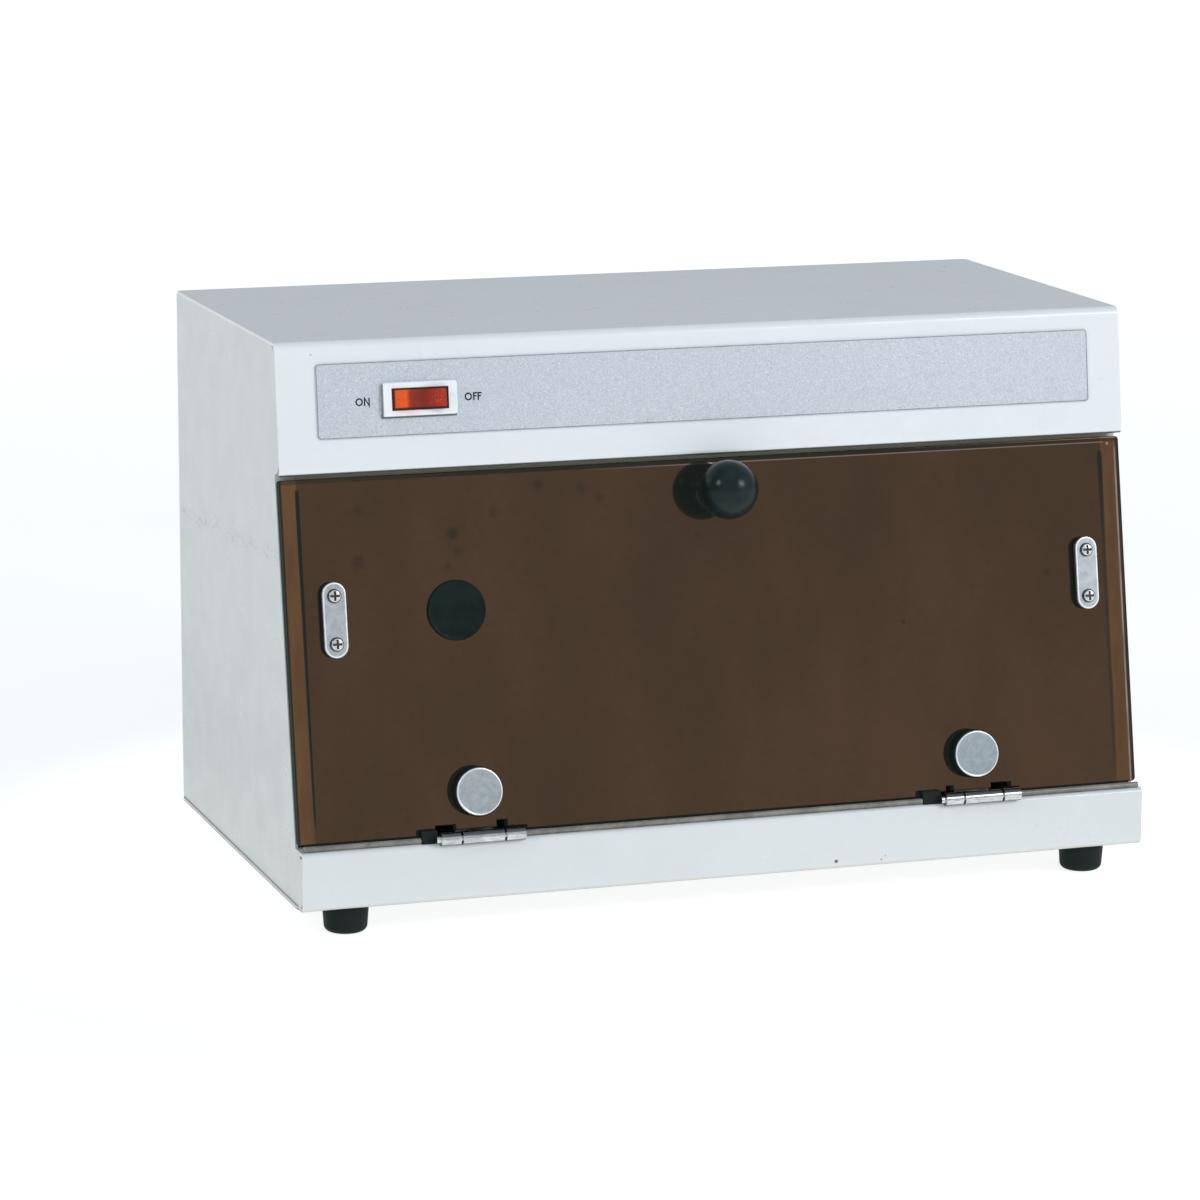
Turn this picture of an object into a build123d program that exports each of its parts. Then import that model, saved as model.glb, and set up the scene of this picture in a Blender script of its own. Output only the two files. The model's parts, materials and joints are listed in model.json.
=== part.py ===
"""Bench-top ultraviolet sterilizer cabinet with a drop-front smoked door.

Millimetres. +Z up, -Y is the front (door) side, X runs along the width.
Origin: middle of the footprint, on the plane the rubber feet stand on.
"""

import os
from math import atan, cos, degrees, radians, sin, tan, pi, hypot

from build123d import *

os.makedirs("parts", exist_ok=True)

# ----------------------------------------------------------------------------
# Driving dimensions
# ----------------------------------------------------------------------------
HALF_W = 183.4            # side panels' outer faces
LIP = 0.6                 # base pan stands this much proud of each side
T = 1.2                   # steel sheet
FOOT_H = 12.0
Z_BASE = FOOT_H           # underside of the base pan
Z_TOP = 236.5             # top of the cabinet
Y_BACK = 99.5             # outer face of the back panel
Y_SILL = -102.0           # front face of the sill
Z_SILL = 36.3             # top of the sill
Y_VAL_TOP = -65.0         # valance face extended up to the top plane
Y_VAL_BOT = -72.0         # valance face extended down to Z_VAL_REF
Z_VAL_REF = 185.0
Z_VAL_BOT = 183.5         # underside of the valance's return flange
R_TOP = 3.5               # bend between top and valance
R_HEM = 2.2               # bend between valance and its return flange

DOOR_W = 366.4            # door width
DOOR_L = 146.2            # door length along its slope
DOOR_T = 4.0              # acrylic thickness
DOOR_R = 1.5              # corner radius
DOOR_SLOPE = 0.183        # run over rise of the closed door
Y_DOOR0 = -95.6           # bottom edge of the closed door's front face
Z_DOOR0 = 38.2

KNOB_X, KNOB_Y = 1.15, 132.8   # positions up the door, from its bottom edge
KNOB_R, KNOB_H = 12.2, 16.5   # ball of the knob and its centre over the door
PLATE_X, PLATE_Y = 164.0, 89.4
PLUG_X, PLUG_Y = -112.4, 90.3
CAP_X, CAP_Y = 108.6, 16.9
CAP_PAD = 5.6             # black washer under each hinge cap
PLATE_PAD = 2.3           # black pad under each catch plate

HINGE_Y, HINGE_Z = -103.0, 38.4
KNUCKLE_R = 2.7
STRAP_Z = 36.6            # underside of the door leaf's strap
PIN_R = 1.2

FOOT_X, FOOT_YF, FOOT_YR = 162.0, -88.0, 82.0

TUBE_Y, TUBE_Z = 22.0, 166.5
DIV_Z = 184.7             # underside of the plate between chamber and electrics

INLET_X, INLET_Z = 128.0, 211.0
INLET_T = 4.2             # flange of the mains inlet
SW_X = -124.6             # switch centre along the valance

A_DOOR = atan(DOOR_SLOPE)
A_VAL = atan((Y_VAL_TOP - Y_VAL_BOT) / (Z_TOP - Z_VAL_REF))

# Local planes: x across the width, y up the slope, z straight out to the front
DOOR = Plane(origin=(0, Y_DOOR0, Z_DOOR0), x_dir=(1, 0, 0), z_dir=(0, -cos(A_DOOR), sin(A_DOOR)))
VAL = Plane(
    origin=(0, Y_VAL_BOT, Z_VAL_REF), x_dir=(1, 0, 0), z_dir=(0, -cos(A_VAL), sin(A_VAL))
)


def door_at(x, y, z):
    """Plane parallel to the door, its origin at local x, y and height z over the front face."""
    return Plane(origin=DOOR.from_local_coords(Vector(x, y, z)), x_dir=DOOR.x_dir, z_dir=DOOR.z_dir)


def val_at(x, y, z):
    """Plane parallel to the valance face, its origin at local x, y and height z over it."""
    return Plane(origin=VAL.from_local_coords(Vector(x, y, z)), x_dir=VAL.x_dir, z_dir=VAL.z_dir)


def bent_sheet(points, radii, t, side):
    """Closed outline of a bent sheet: the visible side runs through points, with the given
    outside radii at its inner corners; the metal lies t to the given side (+1 left, -1 right)."""
    segs = []
    start = points[0]
    n = len(points)
    for i in range(1, n - 1):
        p, a, b = points[i], points[i - 1], points[i + 1]
        r = radii[i - 1]
        d1 = ((p[0] - a[0]), (p[1] - a[1]))
        d2 = ((b[0] - p[0]), (b[1] - p[1]))
        l1, l2 = hypot(*d1), hypot(*d2)
        d1 = (d1[0] / l1, d1[1] / l1)
        d2 = (d2[0] / l2, d2[1] / l2)
        cross = d1[0] * d2[1] - d1[1] * d2[0]
        dot = d1[0] * d2[0] + d1[1] * d2[1]
        half = abs(atan(abs(cross) / (1 + dot)))
        cut = r * tan(half)
        s = (p[0] - d1[0] * cut, p[1] - d1[1] * cut)
        e = (p[0] + d2[0] * cut, p[1] + d2[1] * cut)
        sg = 1 if cross > 0 else -1
        c = (s[0] - d1[1] * r * sg, s[1] + d1[0] * r * sg)
        m = (p[0] - c[0], p[1] - c[1])
        lm = hypot(*m)
        u = (m[0] / lm, m[1] / lm)
        rin = r - t * side * sg
        segs.append(("line", start, s))
        segs.append(("arc", s, (c[0] + u[0] * r, c[1] + u[1] * r), e, c, u, rin, d1, d2))
        start = e
    segs.append(("line", start, points[-1]))

    def shifted(p, d):
        return (p[0] - d[1] * t * side, p[1] + d[0] * t * side)

    inner = []
    for s in segs:
        if s[0] == "line":
            l = hypot(s[2][0] - s[1][0], s[2][1] - s[1][1])
            d = ((s[2][0] - s[1][0]) / l, (s[2][1] - s[1][1]) / l)
            inner.append(("line", shifted(s[1], d), shifted(s[2], d)))
        else:
            _, a, m, e, c, u, rin, d1, d2 = s
            inner.append(
                ("arc", shifted(a, d1), (c[0] + u[0] * rin, c[1] + u[1] * rin), shifted(e, d2))
            )
    with BuildLine() as outline:
        for s in segs:
            if s[0] == "line":
                Line(s[1], s[2])
            else:
                ThreePointArc(s[1], s[2], s[3])
        Line(segs[-1][2], inner[-1][2])
        for s in reversed(inner):
            if s[0] == "line":
                Line(s[2], s[1])
            else:
                ThreePointArc(s[3], s[2], s[1])
        Line(inner[0][1], segs[0][1])
    make_face(outline.line)


def save(builder, name):
    builder.part.label = name
    export_step(builder.part, "parts/" + name + ".step")


def val_y(z):
    """y of the valance's outer face at height z."""
    return Y_VAL_TOP - (Z_TOP - z) * (Y_VAL_TOP - Y_VAL_BOT) / (Z_TOP - Z_VAL_REF)


def door_y(z, depth):
    """y of the plane that lies depth behind the door's front face, at height z."""
    return Y_DOOR0 + (z - Z_DOOR0) * DOOR_SLOPE + depth / cos(A_DOOR)


# ----------------------------------------------------------------------------
# Cabinet sheet metal
# ----------------------------------------------------------------------------
hem_y = val_y(Z_VAL_BOT)
# switch cut-out, in the valance's own coordinates
SW_Y = (212.4 - Z_VAL_REF) / cos(A_VAL)
with BuildPart() as top_cover:
    # top, front bend, valance and the bend of its hem: the full width
    with BuildSketch(Plane.YZ.offset(-HALF_W)):
        bent_sheet(
            [(Y_BACK, Z_TOP), (Y_VAL_TOP, Z_TOP), (hem_y, Z_VAL_BOT), (hem_y + 2.6, Z_VAL_BOT)],
            [R_TOP, R_HEM],
            T,
            1,
        )
    extrude(amount=2 * HALF_W)
    # return flange, between the side panels
    with BuildSketch(Plane.YZ.offset(-HALF_W + T)):
        with Locations(((hem_y + 2.2 - 56.0) / 2, Z_VAL_BOT + T / 2)):
            Rectangle(-56.0 - hem_y - 2.2, T)
    extrude(amount=2 * (HALF_W - T))
    # lip turned down behind the door's top edge
    with BuildSketch(door_at(0, 146.7, -DOOR_T - 1.0)):
        Rectangle(2 * 175.3, 5.4)
    extrude(amount=-T)
    # rear flange for the back panel's upper screws
    with BuildSketch(Plane.XY.offset(Z_TOP - T)):
        with Locations((0, Y_BACK - 1.5 * T)):
            Rectangle(336, T)
    extrude(amount=-14)
    with BuildSketch(Plane.XZ.offset(-Y_BACK)):
        with Locations((-96.0, 228.5), (96.0, 228.5)):
            Circle(1.55)
    extrude(amount=6, mode=Mode.SUBTRACT)
    # relief at the two rear corners, where three sheets meet
    with BuildSketch(Plane.XY.offset(Z_TOP - T)):
        with Locations((-HALF_W, Y_BACK), (HALF_W, Y_BACK)):
            Rectangle(2.4, 2.4)
    extrude(amount=T, mode=Mode.SUBTRACT)
    # switch cut-out
    with BuildSketch(val_at(SW_X, SW_Y, 1)):
        Rectangle(27.6, 11.9)
    extrude(amount=-4, mode=Mode.SUBTRACT)
save(top_cover, "top_cover")


def flange_front():
    """Flange behind the door's edge, parallel to the door."""
    with BuildSketch(door_at(-(HALF_W + 175.4) / 2, 74.2, -DOOR_T - 1.0)) as sk:
        Rectangle(HALF_W - 175.4, 148.4)
    extrude(sk.sketch, amount=-T)


with BuildPart() as left_side_panel:
    # the plate
    with BuildSketch(Plane.YZ.offset(-HALF_W)):
        with BuildLine():
            Polyline(
                (Y_BACK - T, Z_BASE + T),
                (Y_BACK - T, Z_TOP - T),
                (-60.5, Z_TOP - T),
                (-62.6, 234.5),
                (val_y(232.5) + 1.3, 232.5),
                (val_y(187.7) + 1.3, 187.7),
                (-68.6, 185.2),
                (door_y(183.5, 5.0), 183.5),
                (door_y(Z_SILL, 5.0), Z_SILL),
                (-97.9, Z_SILL),
                (-97.9, 33.9),
                (Y_SILL + T + 0.1, 33.9),
                (Y_SILL + T + 0.1, 15.7),
                (-98.6, Z_BASE + T),
                close=True,
            )
        make_face()
    extrude(amount=T)
    flange_front()
    # rear, top and bottom flanges, turned inwards
    with BuildSketch(Plane.XY.offset(15.5)):
        with Locations((-(HALF_W + 170.4) / 2, Y_BACK - 1.5 * T)):
            Rectangle(HALF_W - 170.4, T)
    extrude(amount=218.0)
    with BuildSketch(Plane.XY.offset(Z_TOP - T)):
        with Locations((-(HALF_W + 170.4) / 2, 20.0)):
            Rectangle(HALF_W - 170.4, 150.0)
    extrude(amount=-T)
    with BuildSketch(Plane.XY.offset(Z_BASE + T)):
        with Locations((-(HALF_W + 170.4) / 2, 5.0)):
            Rectangle(HALF_W - 170.4, 150.0)
    extrude(amount=T)
    # rivet holes for the catch, screw holes for the back panel
    with BuildSketch(door_at(0, PLATE_Y, -DOOR_T)):
        with Locations((-179.0, 11.0), (-179.0, -11.0)):
            Circle(1.65)
    extrude(amount=-4, mode=Mode.SUBTRACT)
    with BuildSketch(Plane.XZ.offset(-Y_BACK - 1)):
        with Locations((-176.0, 26.5), (-176.0, 122.5), (-176.0, 218.5)):
            Circle(1.55)
    extrude(amount=8, mode=Mode.SUBTRACT)
save(left_side_panel, "left_side_panel")

with BuildPart() as right_side_panel:
    mirror(left_side_panel.part, about=Plane.YZ)
save(right_side_panel, "right_side_panel")

VENT_X = [-66 + 6.0 * i for i in range(23)]
with BuildPart() as back_panel:
    with BuildSketch(Plane.XZ.offset(-(Y_BACK - T))) as sk:
        with Locations((0, (Z_BASE + T + Z_TOP - T) / 2)):
            Rectangle(2 * HALF_W, Z_TOP - Z_BASE - 2 * T)
        # ventilation slots over the ballast
        with Locations(*[(x, 211.0) for x in VENT_X]):
            SlotOverall(24, 2.6, rotation=90, mode=Mode.SUBTRACT)
        # inlet cut-out and its two screw holes
        with Locations((INLET_X, INLET_Z)):
            Rectangle(28.0, 20.6, mode=Mode.SUBTRACT)
        with Locations((INLET_X - 20, INLET_Z), (INLET_X + 20, INLET_Z)):
            Circle(1.6, mode=Mode.SUBTRACT)
        # panel screws
        with Locations(
            *[(s * 176.0, z) for s in (-1, 1) for z in (26.5, 122.5, 218.5)],
            (-96.0, 228.5),
            (96.0, 228.5),
        ):
            Circle(1.6, mode=Mode.SUBTRACT)
    extrude(amount=-T)
save(back_panel, "back_panel")

with BuildPart() as base_pan:
    # floor, bottom bend, sill front and its top bend: the full width
    with BuildSketch(Plane.YZ.offset(-HALF_W)):
        bent_sheet(
            [(Y_BACK - T, Z_BASE), (Y_SILL, Z_BASE), (Y_SILL, Z_SILL), (-98.0, Z_SILL)],
            [2.6, 1.8],
            T,
            -1,
        )
    extrude(amount=2 * HALF_W)
    # top of the sill and its rear drop, between the side panels
    with BuildSketch(Plane.YZ.offset(-HALF_W + T)):
        bent_sheet([(-98.4, Z_SILL), (-78.0, Z_SILL), (-78.0, 24.5)], [1.8], T, -1)
    extrude(amount=2 * (HALF_W - T))
    # floor lip that stands proud at the sides and back
    with BuildSketch(Plane.XY.offset(Z_BASE)):
        with Locations((0, (Y_BACK + 2.0 - 98.0) / 2)):
            RectangleRounded(2 * (HALF_W + LIP), Y_BACK + 2.0 + 98.0, 5.0)
    extrude(amount=T)
    # holes for the foot screws and the hinge screws
    with Locations(
        *[
            (x, y, Z_BASE + T)
            for x in (-FOOT_X, FOOT_X)
            for y in (FOOT_YF, FOOT_YR)
        ]
    ):
        Hole(2.1, depth=T + 1)
    with BuildSketch(Plane.XY.offset(Z_SILL + 1)):
        with Locations(*[(s * CAP_X + d, -83.2) for s in (-1, 1) for d in (-11.5, 11.5)]):
            Circle(1.55)
    extrude(amount=-4, mode=Mode.SUBTRACT)
save(base_pan, "base_pan")

# ----------------------------------------------------------------------------
# Plate between chamber and electrics, with its reflector and lamp
# ----------------------------------------------------------------------------
WIRE_HOLES = [(-163.0, 42.0), (163.0, 42.0)]
with BuildPart() as lamp_divider:
    with BuildSketch(Plane.XZ.offset(66.0)):
        bent_sheet(
            [
                (-HALF_W + T, DIV_Z + 10.0),
                (-HALF_W + T, DIV_Z),
                (HALF_W - T, DIV_Z),
                (HALF_W - T, DIV_Z + 10.0),
            ],
            [1.6, 1.6],
            T,
            1,
        )
    extrude(amount=-(Y_BACK - 3 * T + 66.0))
    # notches for the side panels' rear flanges and rear wall
    with BuildSketch(Plane.XY.offset(DIV_Z)):
        with Locations(*WIRE_HOLES):
            Circle(4.0)
        with Locations((-118, TUBE_Y), (118, TUBE_Y)):
            Circle(1.6)
        with Locations((-152.5, TUBE_Y - 7), (-152.5, TUBE_Y + 7), (152.5, TUBE_Y - 7), (152.5, TUBE_Y + 7)):
            Circle(1.6)
        with Locations((-92, 46), (8, 46)):
            Circle(1.7)
    extrude(amount=T, mode=Mode.SUBTRACT)
save(lamp_divider, "lamp_divider")

with BuildPart() as reflector:
    with BuildSketch(Plane.YZ.offset(-136)):
        bent_sheet(
            [
                (TUBE_Y - 44, 167.5),
                (TUBE_Y - 40, 167.5),
                (TUBE_Y - 22, DIV_Z),
                (TUBE_Y + 22, DIV_Z),
                (TUBE_Y + 40, 167.5),
                (TUBE_Y + 44, 167.5),
            ],
            [1.4, 1.4, 1.4, 1.4],
            0.7,
            -1,
        )
    extrude(amount=272)
    with Locations((-118, TUBE_Y, DIV_Z), (118, TUBE_Y, DIV_Z)):
        Hole(1.6, depth=3)
save(reflector, "reflector")


# Lamp: 16 mm tube with two-pin ends
TUBE_HALF, CAP_LEN = 137.2, 6.8
with BuildPart() as uv_tube:
    with BuildSketch(Plane.XZ.offset(-TUBE_Y)):
        with BuildLine():
            Polyline(
                (-TUBE_HALF, TUBE_Z),
                (-TUBE_HALF, TUBE_Z + 6.6),
                (-TUBE_HALF + 1.2, TUBE_Z + 7.75),
                (TUBE_HALF - 1.2, TUBE_Z + 7.75),
                (TUBE_HALF, TUBE_Z + 6.6),
                (TUBE_HALF, TUBE_Z),
                close=True,
            )
        make_face()
    revolve(axis=Axis((0, TUBE_Y, TUBE_Z), (1, 0, 0)))
save(uv_tube, "uv_tube")

with BuildPart() as tube_end_caps:
    for s in (-1, 1):
        p = Plane(origin=(s * TUBE_HALF, TUBE_Y, TUBE_Z), x_dir=(0, 1, 0), z_dir=(s, 0, 0))
        with BuildSketch(p):
            Circle(8.0)
        extrude(amount=CAP_LEN)
        with BuildSketch(p.offset(CAP_LEN)):
            with Locations((0, 2.38), (0, -2.38)):
                Circle(1.15)
        extrude(amount=7.0)
    fillet(
        tube_end_caps.edges().filter_by(GeomType.CIRCLE).filter_by(lambda e: abs(e.radius - 8.0) < 0.01)
        .filter_by(lambda e: abs(abs(e.center().X) - TUBE_HALF - CAP_LEN) < 0.01),
        1.0,
    )
save(tube_end_caps, "tube_end_caps")


def lampholder(s):
    """Two-pin tube holder hung from the divider, its mouth towards the tube."""
    face_x = TUBE_HALF + CAP_LEN + 0.4
    with BuildSketch(Plane(origin=(s * face_x, 0, 0), x_dir=(0, s, 0), z_dir=(s, 0, 0))) as sk:
        with Locations((s * TUBE_Y, TUBE_Z + 2)):
            Rectangle(19.0, 20.0)
        with Locations((s * TUBE_Y, TUBE_Z - 6.0)):
            Circle(9.5)
        with Locations((s * TUBE_Y, DIV_Z - 3.2)):
            Rectangle(23.0, 6.4)
    extrude(sk.sketch, amount=15.0)
    # rotor: a raised ring round the two pin holes, and the entry slot below it
    with BuildSketch(Plane(origin=(s * face_x, TUBE_Y, TUBE_Z), x_dir=(0, s, 0), z_dir=(s, 0, 0))) as sk:
        with Locations((0, 2.38), (0, -2.38)):
            Circle(1.35)
        with Locations((0, -9.0)):
            Rectangle(2.9, 14.0)
    extrude(sk.sketch, amount=8.0, mode=Mode.SUBTRACT)


with BuildPart() as left_lampholder:
    lampholder(-1)
save(left_lampholder, "left_lampholder")
with BuildPart() as right_lampholder:
    lampholder(1)
save(right_lampholder, "right_lampholder")

# ----------------------------------------------------------------------------
# Electrics, behind the valance
# ----------------------------------------------------------------------------
ZE = DIV_Z + T
with BuildPart() as ballast:
    with BuildSketch(Plane.XY.offset(ZE)):
        with Locations((-42, 46)):
            Rectangle(112, 34)
        with Locations((-92, 46), (8, 46)):
            SlotOverall(7, 4.2, rotation=0, mode=Mode.SUBTRACT)
    extrude(amount=1.0)
    with BuildSketch(Plane.YZ.offset(-82)):
        with Locations((46, ZE + 14.0)):
            RectangleRounded(40, 26, 2.5)
    extrude(amount=80)
    with BuildSketch(Plane.XY.offset(ZE + 27)):
        with Locations((-42, 46)):
            Rectangle(60, 24)
    extrude(amount=0.4)
save(ballast, "ballast")

# screws of the divider: the tube holders'
with BuildPart() as divider_screws:
    for x in (-152.5, 152.5):
        for dy in (-7, 7):
            base = Plane.XY.offset(DIV_Z + T).move(Location((x, TUBE_Y + dy, 0)))
            with BuildSketch(base):
                Circle(2.8)
            extrude(amount=1.7)
            with BuildSketch(base):
                Circle(1.5)
            extrude(amount=-T)
    # the two that hold the reflector
    for x in (-118, 118):
        with BuildSketch(Plane.XY.offset(DIV_Z - 0.7).move(Location((x, TUBE_Y, 0)))):
            Circle(2.9)
        extrude(amount=-1.8)
        with BuildSketch(Plane.XY.offset(DIV_Z - 2.5).move(Location((x, TUBE_Y, 0)))):
            Rectangle(3.4, 0.7)
            Rectangle(0.7, 3.4)
        extrude(amount=1.0, mode=Mode.SUBTRACT)
        with BuildSketch(Plane.XY.offset(DIV_Z - 0.7).move(Location((x, TUBE_Y, 0)))):
            Circle(1.5)
        extrude(amount=5.2)
    # and the two that hold the ballast
    for x in (-92, 8):
        base = Plane.XY.offset(ZE + 1.0).move(Location((x, 46, 0)))
        with BuildSketch(base):
            Circle(3.2)
        extrude(amount=2.2)
        with BuildSketch(base.offset(2.2)):
            Rectangle(4.0, 0.8)
            Rectangle(0.8, 4.0)
        extrude(amount=-1.1, mode=Mode.SUBTRACT)
        with BuildSketch(base):
            Circle(1.6)
        extrude(amount=-(1.0 + T))
save(divider_screws, "divider_screws")

ST = (52.0, 30.0)
with BuildPart() as starter_socket:
    with BuildSketch(Plane.XY.offset(ZE)):
        with Locations(ST):
            RectangleRounded(34, 26, 3)
    extrude(amount=10)
    with BuildSketch(Plane.XY.offset(ZE + 10)):
        with Locations(ST):
            Circle(11.2)
    extrude(amount=-5.5, mode=Mode.SUBTRACT)
save(starter_socket, "starter_socket")

with BuildPart() as starter:
    with BuildSketch(Plane.XY.offset(ZE + 4.7)):
        with Locations(ST):
            Circle(10.75)
    extrude(amount=34)
    fillet(starter.edges().filter_by(GeomType.CIRCLE).sort_by(Axis.Z)[-1], 2.0)
save(starter, "starter")

TB = (86.0, 66.0)
with BuildPart() as terminal_block:
    with BuildSketch(Plane.XY.offset(ZE)):
        with Locations(TB):
            Rectangle(36, 19)
    extrude(amount=7)
    for i in (-1, 0, 1):
        with BuildSketch(Plane.XY.offset(ZE + 7)):
            with Locations((TB[0] + 11.5 * i, TB[1])):
                RectangleRounded(9.6, 15, 1.2)
        extrude(amount=7)
        with BuildSketch(Plane.XZ.offset(-(TB[1] + 10))):
            with Locations((TB[0] + 11.5 * i, ZE + 5.0)):
                Circle(1.9)
        extrude(amount=20, mode=Mode.SUBTRACT)
    with BuildSketch(Plane.XY.offset(ZE + 14)):
        with Locations(*[(TB[0] + 11.5 * i, TB[1] + d) for i in (-1, 0, 1) for d in (-4, 4)]):
            Circle(1.9)
    extrude(amount=-8, mode=Mode.SUBTRACT)
save(terminal_block, "terminal_block")

with BuildPart() as terminal_screws:
    for i in (-1, 0, 1):
        for d in (-4, 4):
            base = Plane.XY.offset(ZE + 7.2).move(Location((TB[0] + 11.5 * i, TB[1] + d, 0)))
            with BuildSketch(base):
                Circle(1.7)
            extrude(amount=5.0)
            with BuildSketch(base.offset(5.0)):
                Rectangle(3.6, 0.6)
            extrude(amount=-0.9, mode=Mode.SUBTRACT)
save(terminal_screws, "terminal_screws")

# Mains inlet: flanged appliance coupler socket, flat to the back panel
PIN_AT = [
    (INLET_X - 7.0, INLET_Z + 0.6),
    (INLET_X + 7.0, INLET_Z + 0.6),
    (INLET_X, INLET_Z + 4.6),
]
with BuildPart() as power_inlet:
    with BuildSketch(Plane.XZ.offset(-Y_BACK)):
        with Locations((INLET_X, INLET_Z)):
            RectangleRounded(50.0, 24.0, 4.0)
        with Locations((INLET_X - 20, INLET_Z), (INLET_X + 20, INLET_Z)):
            Circle(1.7, mode=Mode.SUBTRACT)
    extrude(amount=-INLET_T)
    with BuildSketch(Plane.XZ.offset(-Y_BACK)):
        with Locations((INLET_X, INLET_Z)):
            RectangleRounded(27.6, 20.2, 1.5)
    extrude(amount=19.0)
    with BuildSketch(Plane.XZ.offset(-Y_BACK - INLET_T)):
        with BuildLine():
            Polyline(
                *[
                    (INLET_X + u, INLET_Z + v)
                    for u, v in (
                        (-12.2, -8.4),
                        (12.2, -8.4),
                        (12.2, 3.2),
                        (7.4, 8.4),
                        (-7.4, 8.4),
                        (-12.2, 3.2),
                    )
                ],
                close=True,
            )
        make_face()
    extrude(amount=15.0 + INLET_T, mode=Mode.SUBTRACT)
    with BuildSketch(Plane.XZ.offset(-Y_BACK + 22.0)):
        with Locations(*PIN_AT):
            Rectangle(2.0, 4.0)
    extrude(amount=-22.0, mode=Mode.SUBTRACT)
save(power_inlet, "power_inlet")

with BuildPart() as inlet_pins:
    with BuildSketch(Plane.XZ.offset(-Y_BACK + 22.0)):
        with Locations(*PIN_AT):
            Rectangle(2.0, 4.0)
    extrude(amount=-22.0)
save(inlet_pins, "inlet_pins")

with BuildPart() as inlet_screws:
    for dx in (-20, 20):
        base = Plane(origin=(INLET_X + dx, Y_BACK + INLET_T, INLET_Z), x_dir=(1, 0, 0), z_dir=(0, 1, 0))
        with BuildSketch(base):
            Circle(2.9)
        extrude(amount=2.0)
        with BuildSketch(base.offset(2.0)):
            Rectangle(3.6, 0.75)
            Rectangle(0.75, 3.6)
        extrude(amount=-1.1, mode=Mode.SUBTRACT)
        with BuildSketch(base):
            Circle(1.5)
        extrude(amount=-5.0 - INLET_T)
        with BuildSketch(base.offset(-INLET_T - T)):
            RegularPolygon(3.1, 6)
        extrude(amount=-2.2)
save(inlet_screws, "inlet_screws")

# Rocker switch: bezel and case, rocker, blades
ROCK_TILT = 7.0
TRUNNION_R = 0.95
# pivot of the rocker, a little behind the valance's face
SW_PIVOT = VAL.from_local_coords(Vector(SW_X, SW_Y, -0.3))
with BuildPart() as switch_body:
    with BuildSketch(val_at(SW_X, SW_Y, 0.6)):
        RectangleRounded(31.4, 13.8, 1.4)
    extrude(amount=2.0)
    with BuildSketch(val_at(SW_X, SW_Y, 0.6)):
        RectangleRounded(27.2, 11.6, 0.8)
    extrude(amount=-19.0)
    fillet(
        switch_body.faces().filter_by(lambda f: abs(f.normal_at().dot(VAL.z_dir) - 1) < 1e-3)
        .sort_by(lambda f: f.center().dot(VAL.z_dir))[-1].edges(),
        0.8,
    )
    with BuildSketch(val_at(SW_X, SW_Y, 3.0)):
        Rectangle(23.6, 8.6)
    extrude(amount=-9.6, mode=Mode.SUBTRACT)
    # bearing holes for the rocker's trunnions
    with BuildSketch(Plane(origin=SW_PIVOT, x_dir=(1, 0, 0), z_dir=VAL.y_dir).offset(-5.2)):
        Circle(TRUNNION_R + 0.05)
    extrude(amount=10.4, mode=Mode.SUBTRACT)
save(switch_body, "switch_body")

rock_plane = Plane(
    origin=SW_PIVOT,
    x_dir=Vector(1, 0, 0).rotate(Axis((0, 0, 0), VAL.y_dir), -ROCK_TILT),
    z_dir=-VAL.y_dir,
)
with BuildPart() as switch_rocker:
    # drawn level about its pivot, then turned so that its left end is pressed in
    with BuildSketch(rock_plane.offset(-4.05)):
        with BuildLine():
            Polyline(
                (-11.0, 0.0),
                (-11.0, 4.6),
                (-10.4, 5.0),
                (0.0, 3.5),
                (10.4, 5.0),
                (11.0, 4.6),
                (11.0, 0.0),
                (5.0, -3.2),
                (-5.0, -3.2),
                close=True,
            )
        make_face()
    extrude(amount=8.1)
    # trunnions at its pivot
    with BuildSketch(rock_plane.offset(-5.1)):
        Circle(TRUNNION_R)
    extrude(amount=10.2)
save(switch_rocker, "switch_rocker")

with BuildPart() as switch_blades:
    for dx in (-8.0, 0.0, 8.0):
        with BuildSketch(val_at(SW_X + dx, SW_Y, 0.6 - 19.0)):
            Rectangle(0.8, 6.3)
        extrude(amount=-8.0)
save(switch_blades, "switch_blades")

LABEL_Y0 = (197.8 - Z_VAL_REF) / cos(A_VAL)
LABEL_Y1 = (227.8 - Z_VAL_REF) / cos(A_VAL)
with BuildPart() as label_plate:
    with BuildSketch(val_at(0.65, (LABEL_Y0 + LABEL_Y1) / 2, 0)):
        RectangleRounded(335.6, LABEL_Y1 - LABEL_Y0, 1.6)
    extrude(amount=0.6)
    with BuildSketch(val_at(SW_X, SW_Y, 1)):
        Rectangle(27.6, 11.9)
    extrude(amount=-2, mode=Mode.SUBTRACT)
save(label_plate, "label_plate")


def wire(points, r, bend):
    """One insulated conductor, bent through points."""
    with BuildLine() as path:
        FilletPolyline(*points, radius=bend)
    d = Vector(*points[1]) - Vector(*points[0])
    with BuildSketch(Plane(origin=points[0], z_dir=d)) as sk:
        Circle(r)
    sweep(sk.sketch, path=path.wires()[0])


SWB = VAL.from_local_coords(Vector(SW_X, SW_Y, -27.0))
with BuildPart() as wiring_mains:
    # inlet to terminal block, three conductors
    for i, (px, pz) in enumerate((PIN_AT[0], PIN_AT[2], PIN_AT[1])):
        tx = TB[0] + 11.5 * (i - 1)
        yy = 49.0 - 4.0 * (2 - i)
        wire(
            [
                (px, Y_BACK - 22.0, pz),
                (px, yy, pz),
                (px, yy - 8.0, ZE + 8.6 + 3.4 * i),
                (tx, yy - 8.0, ZE + 8.6 + 3.4 * i),
                (tx, yy, ZE + 5.0),
                (tx, 56.4, ZE + 5.0),
            ],
            1.2,
            2.0,
        )
save(wiring_mains, "wiring_mains")

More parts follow.
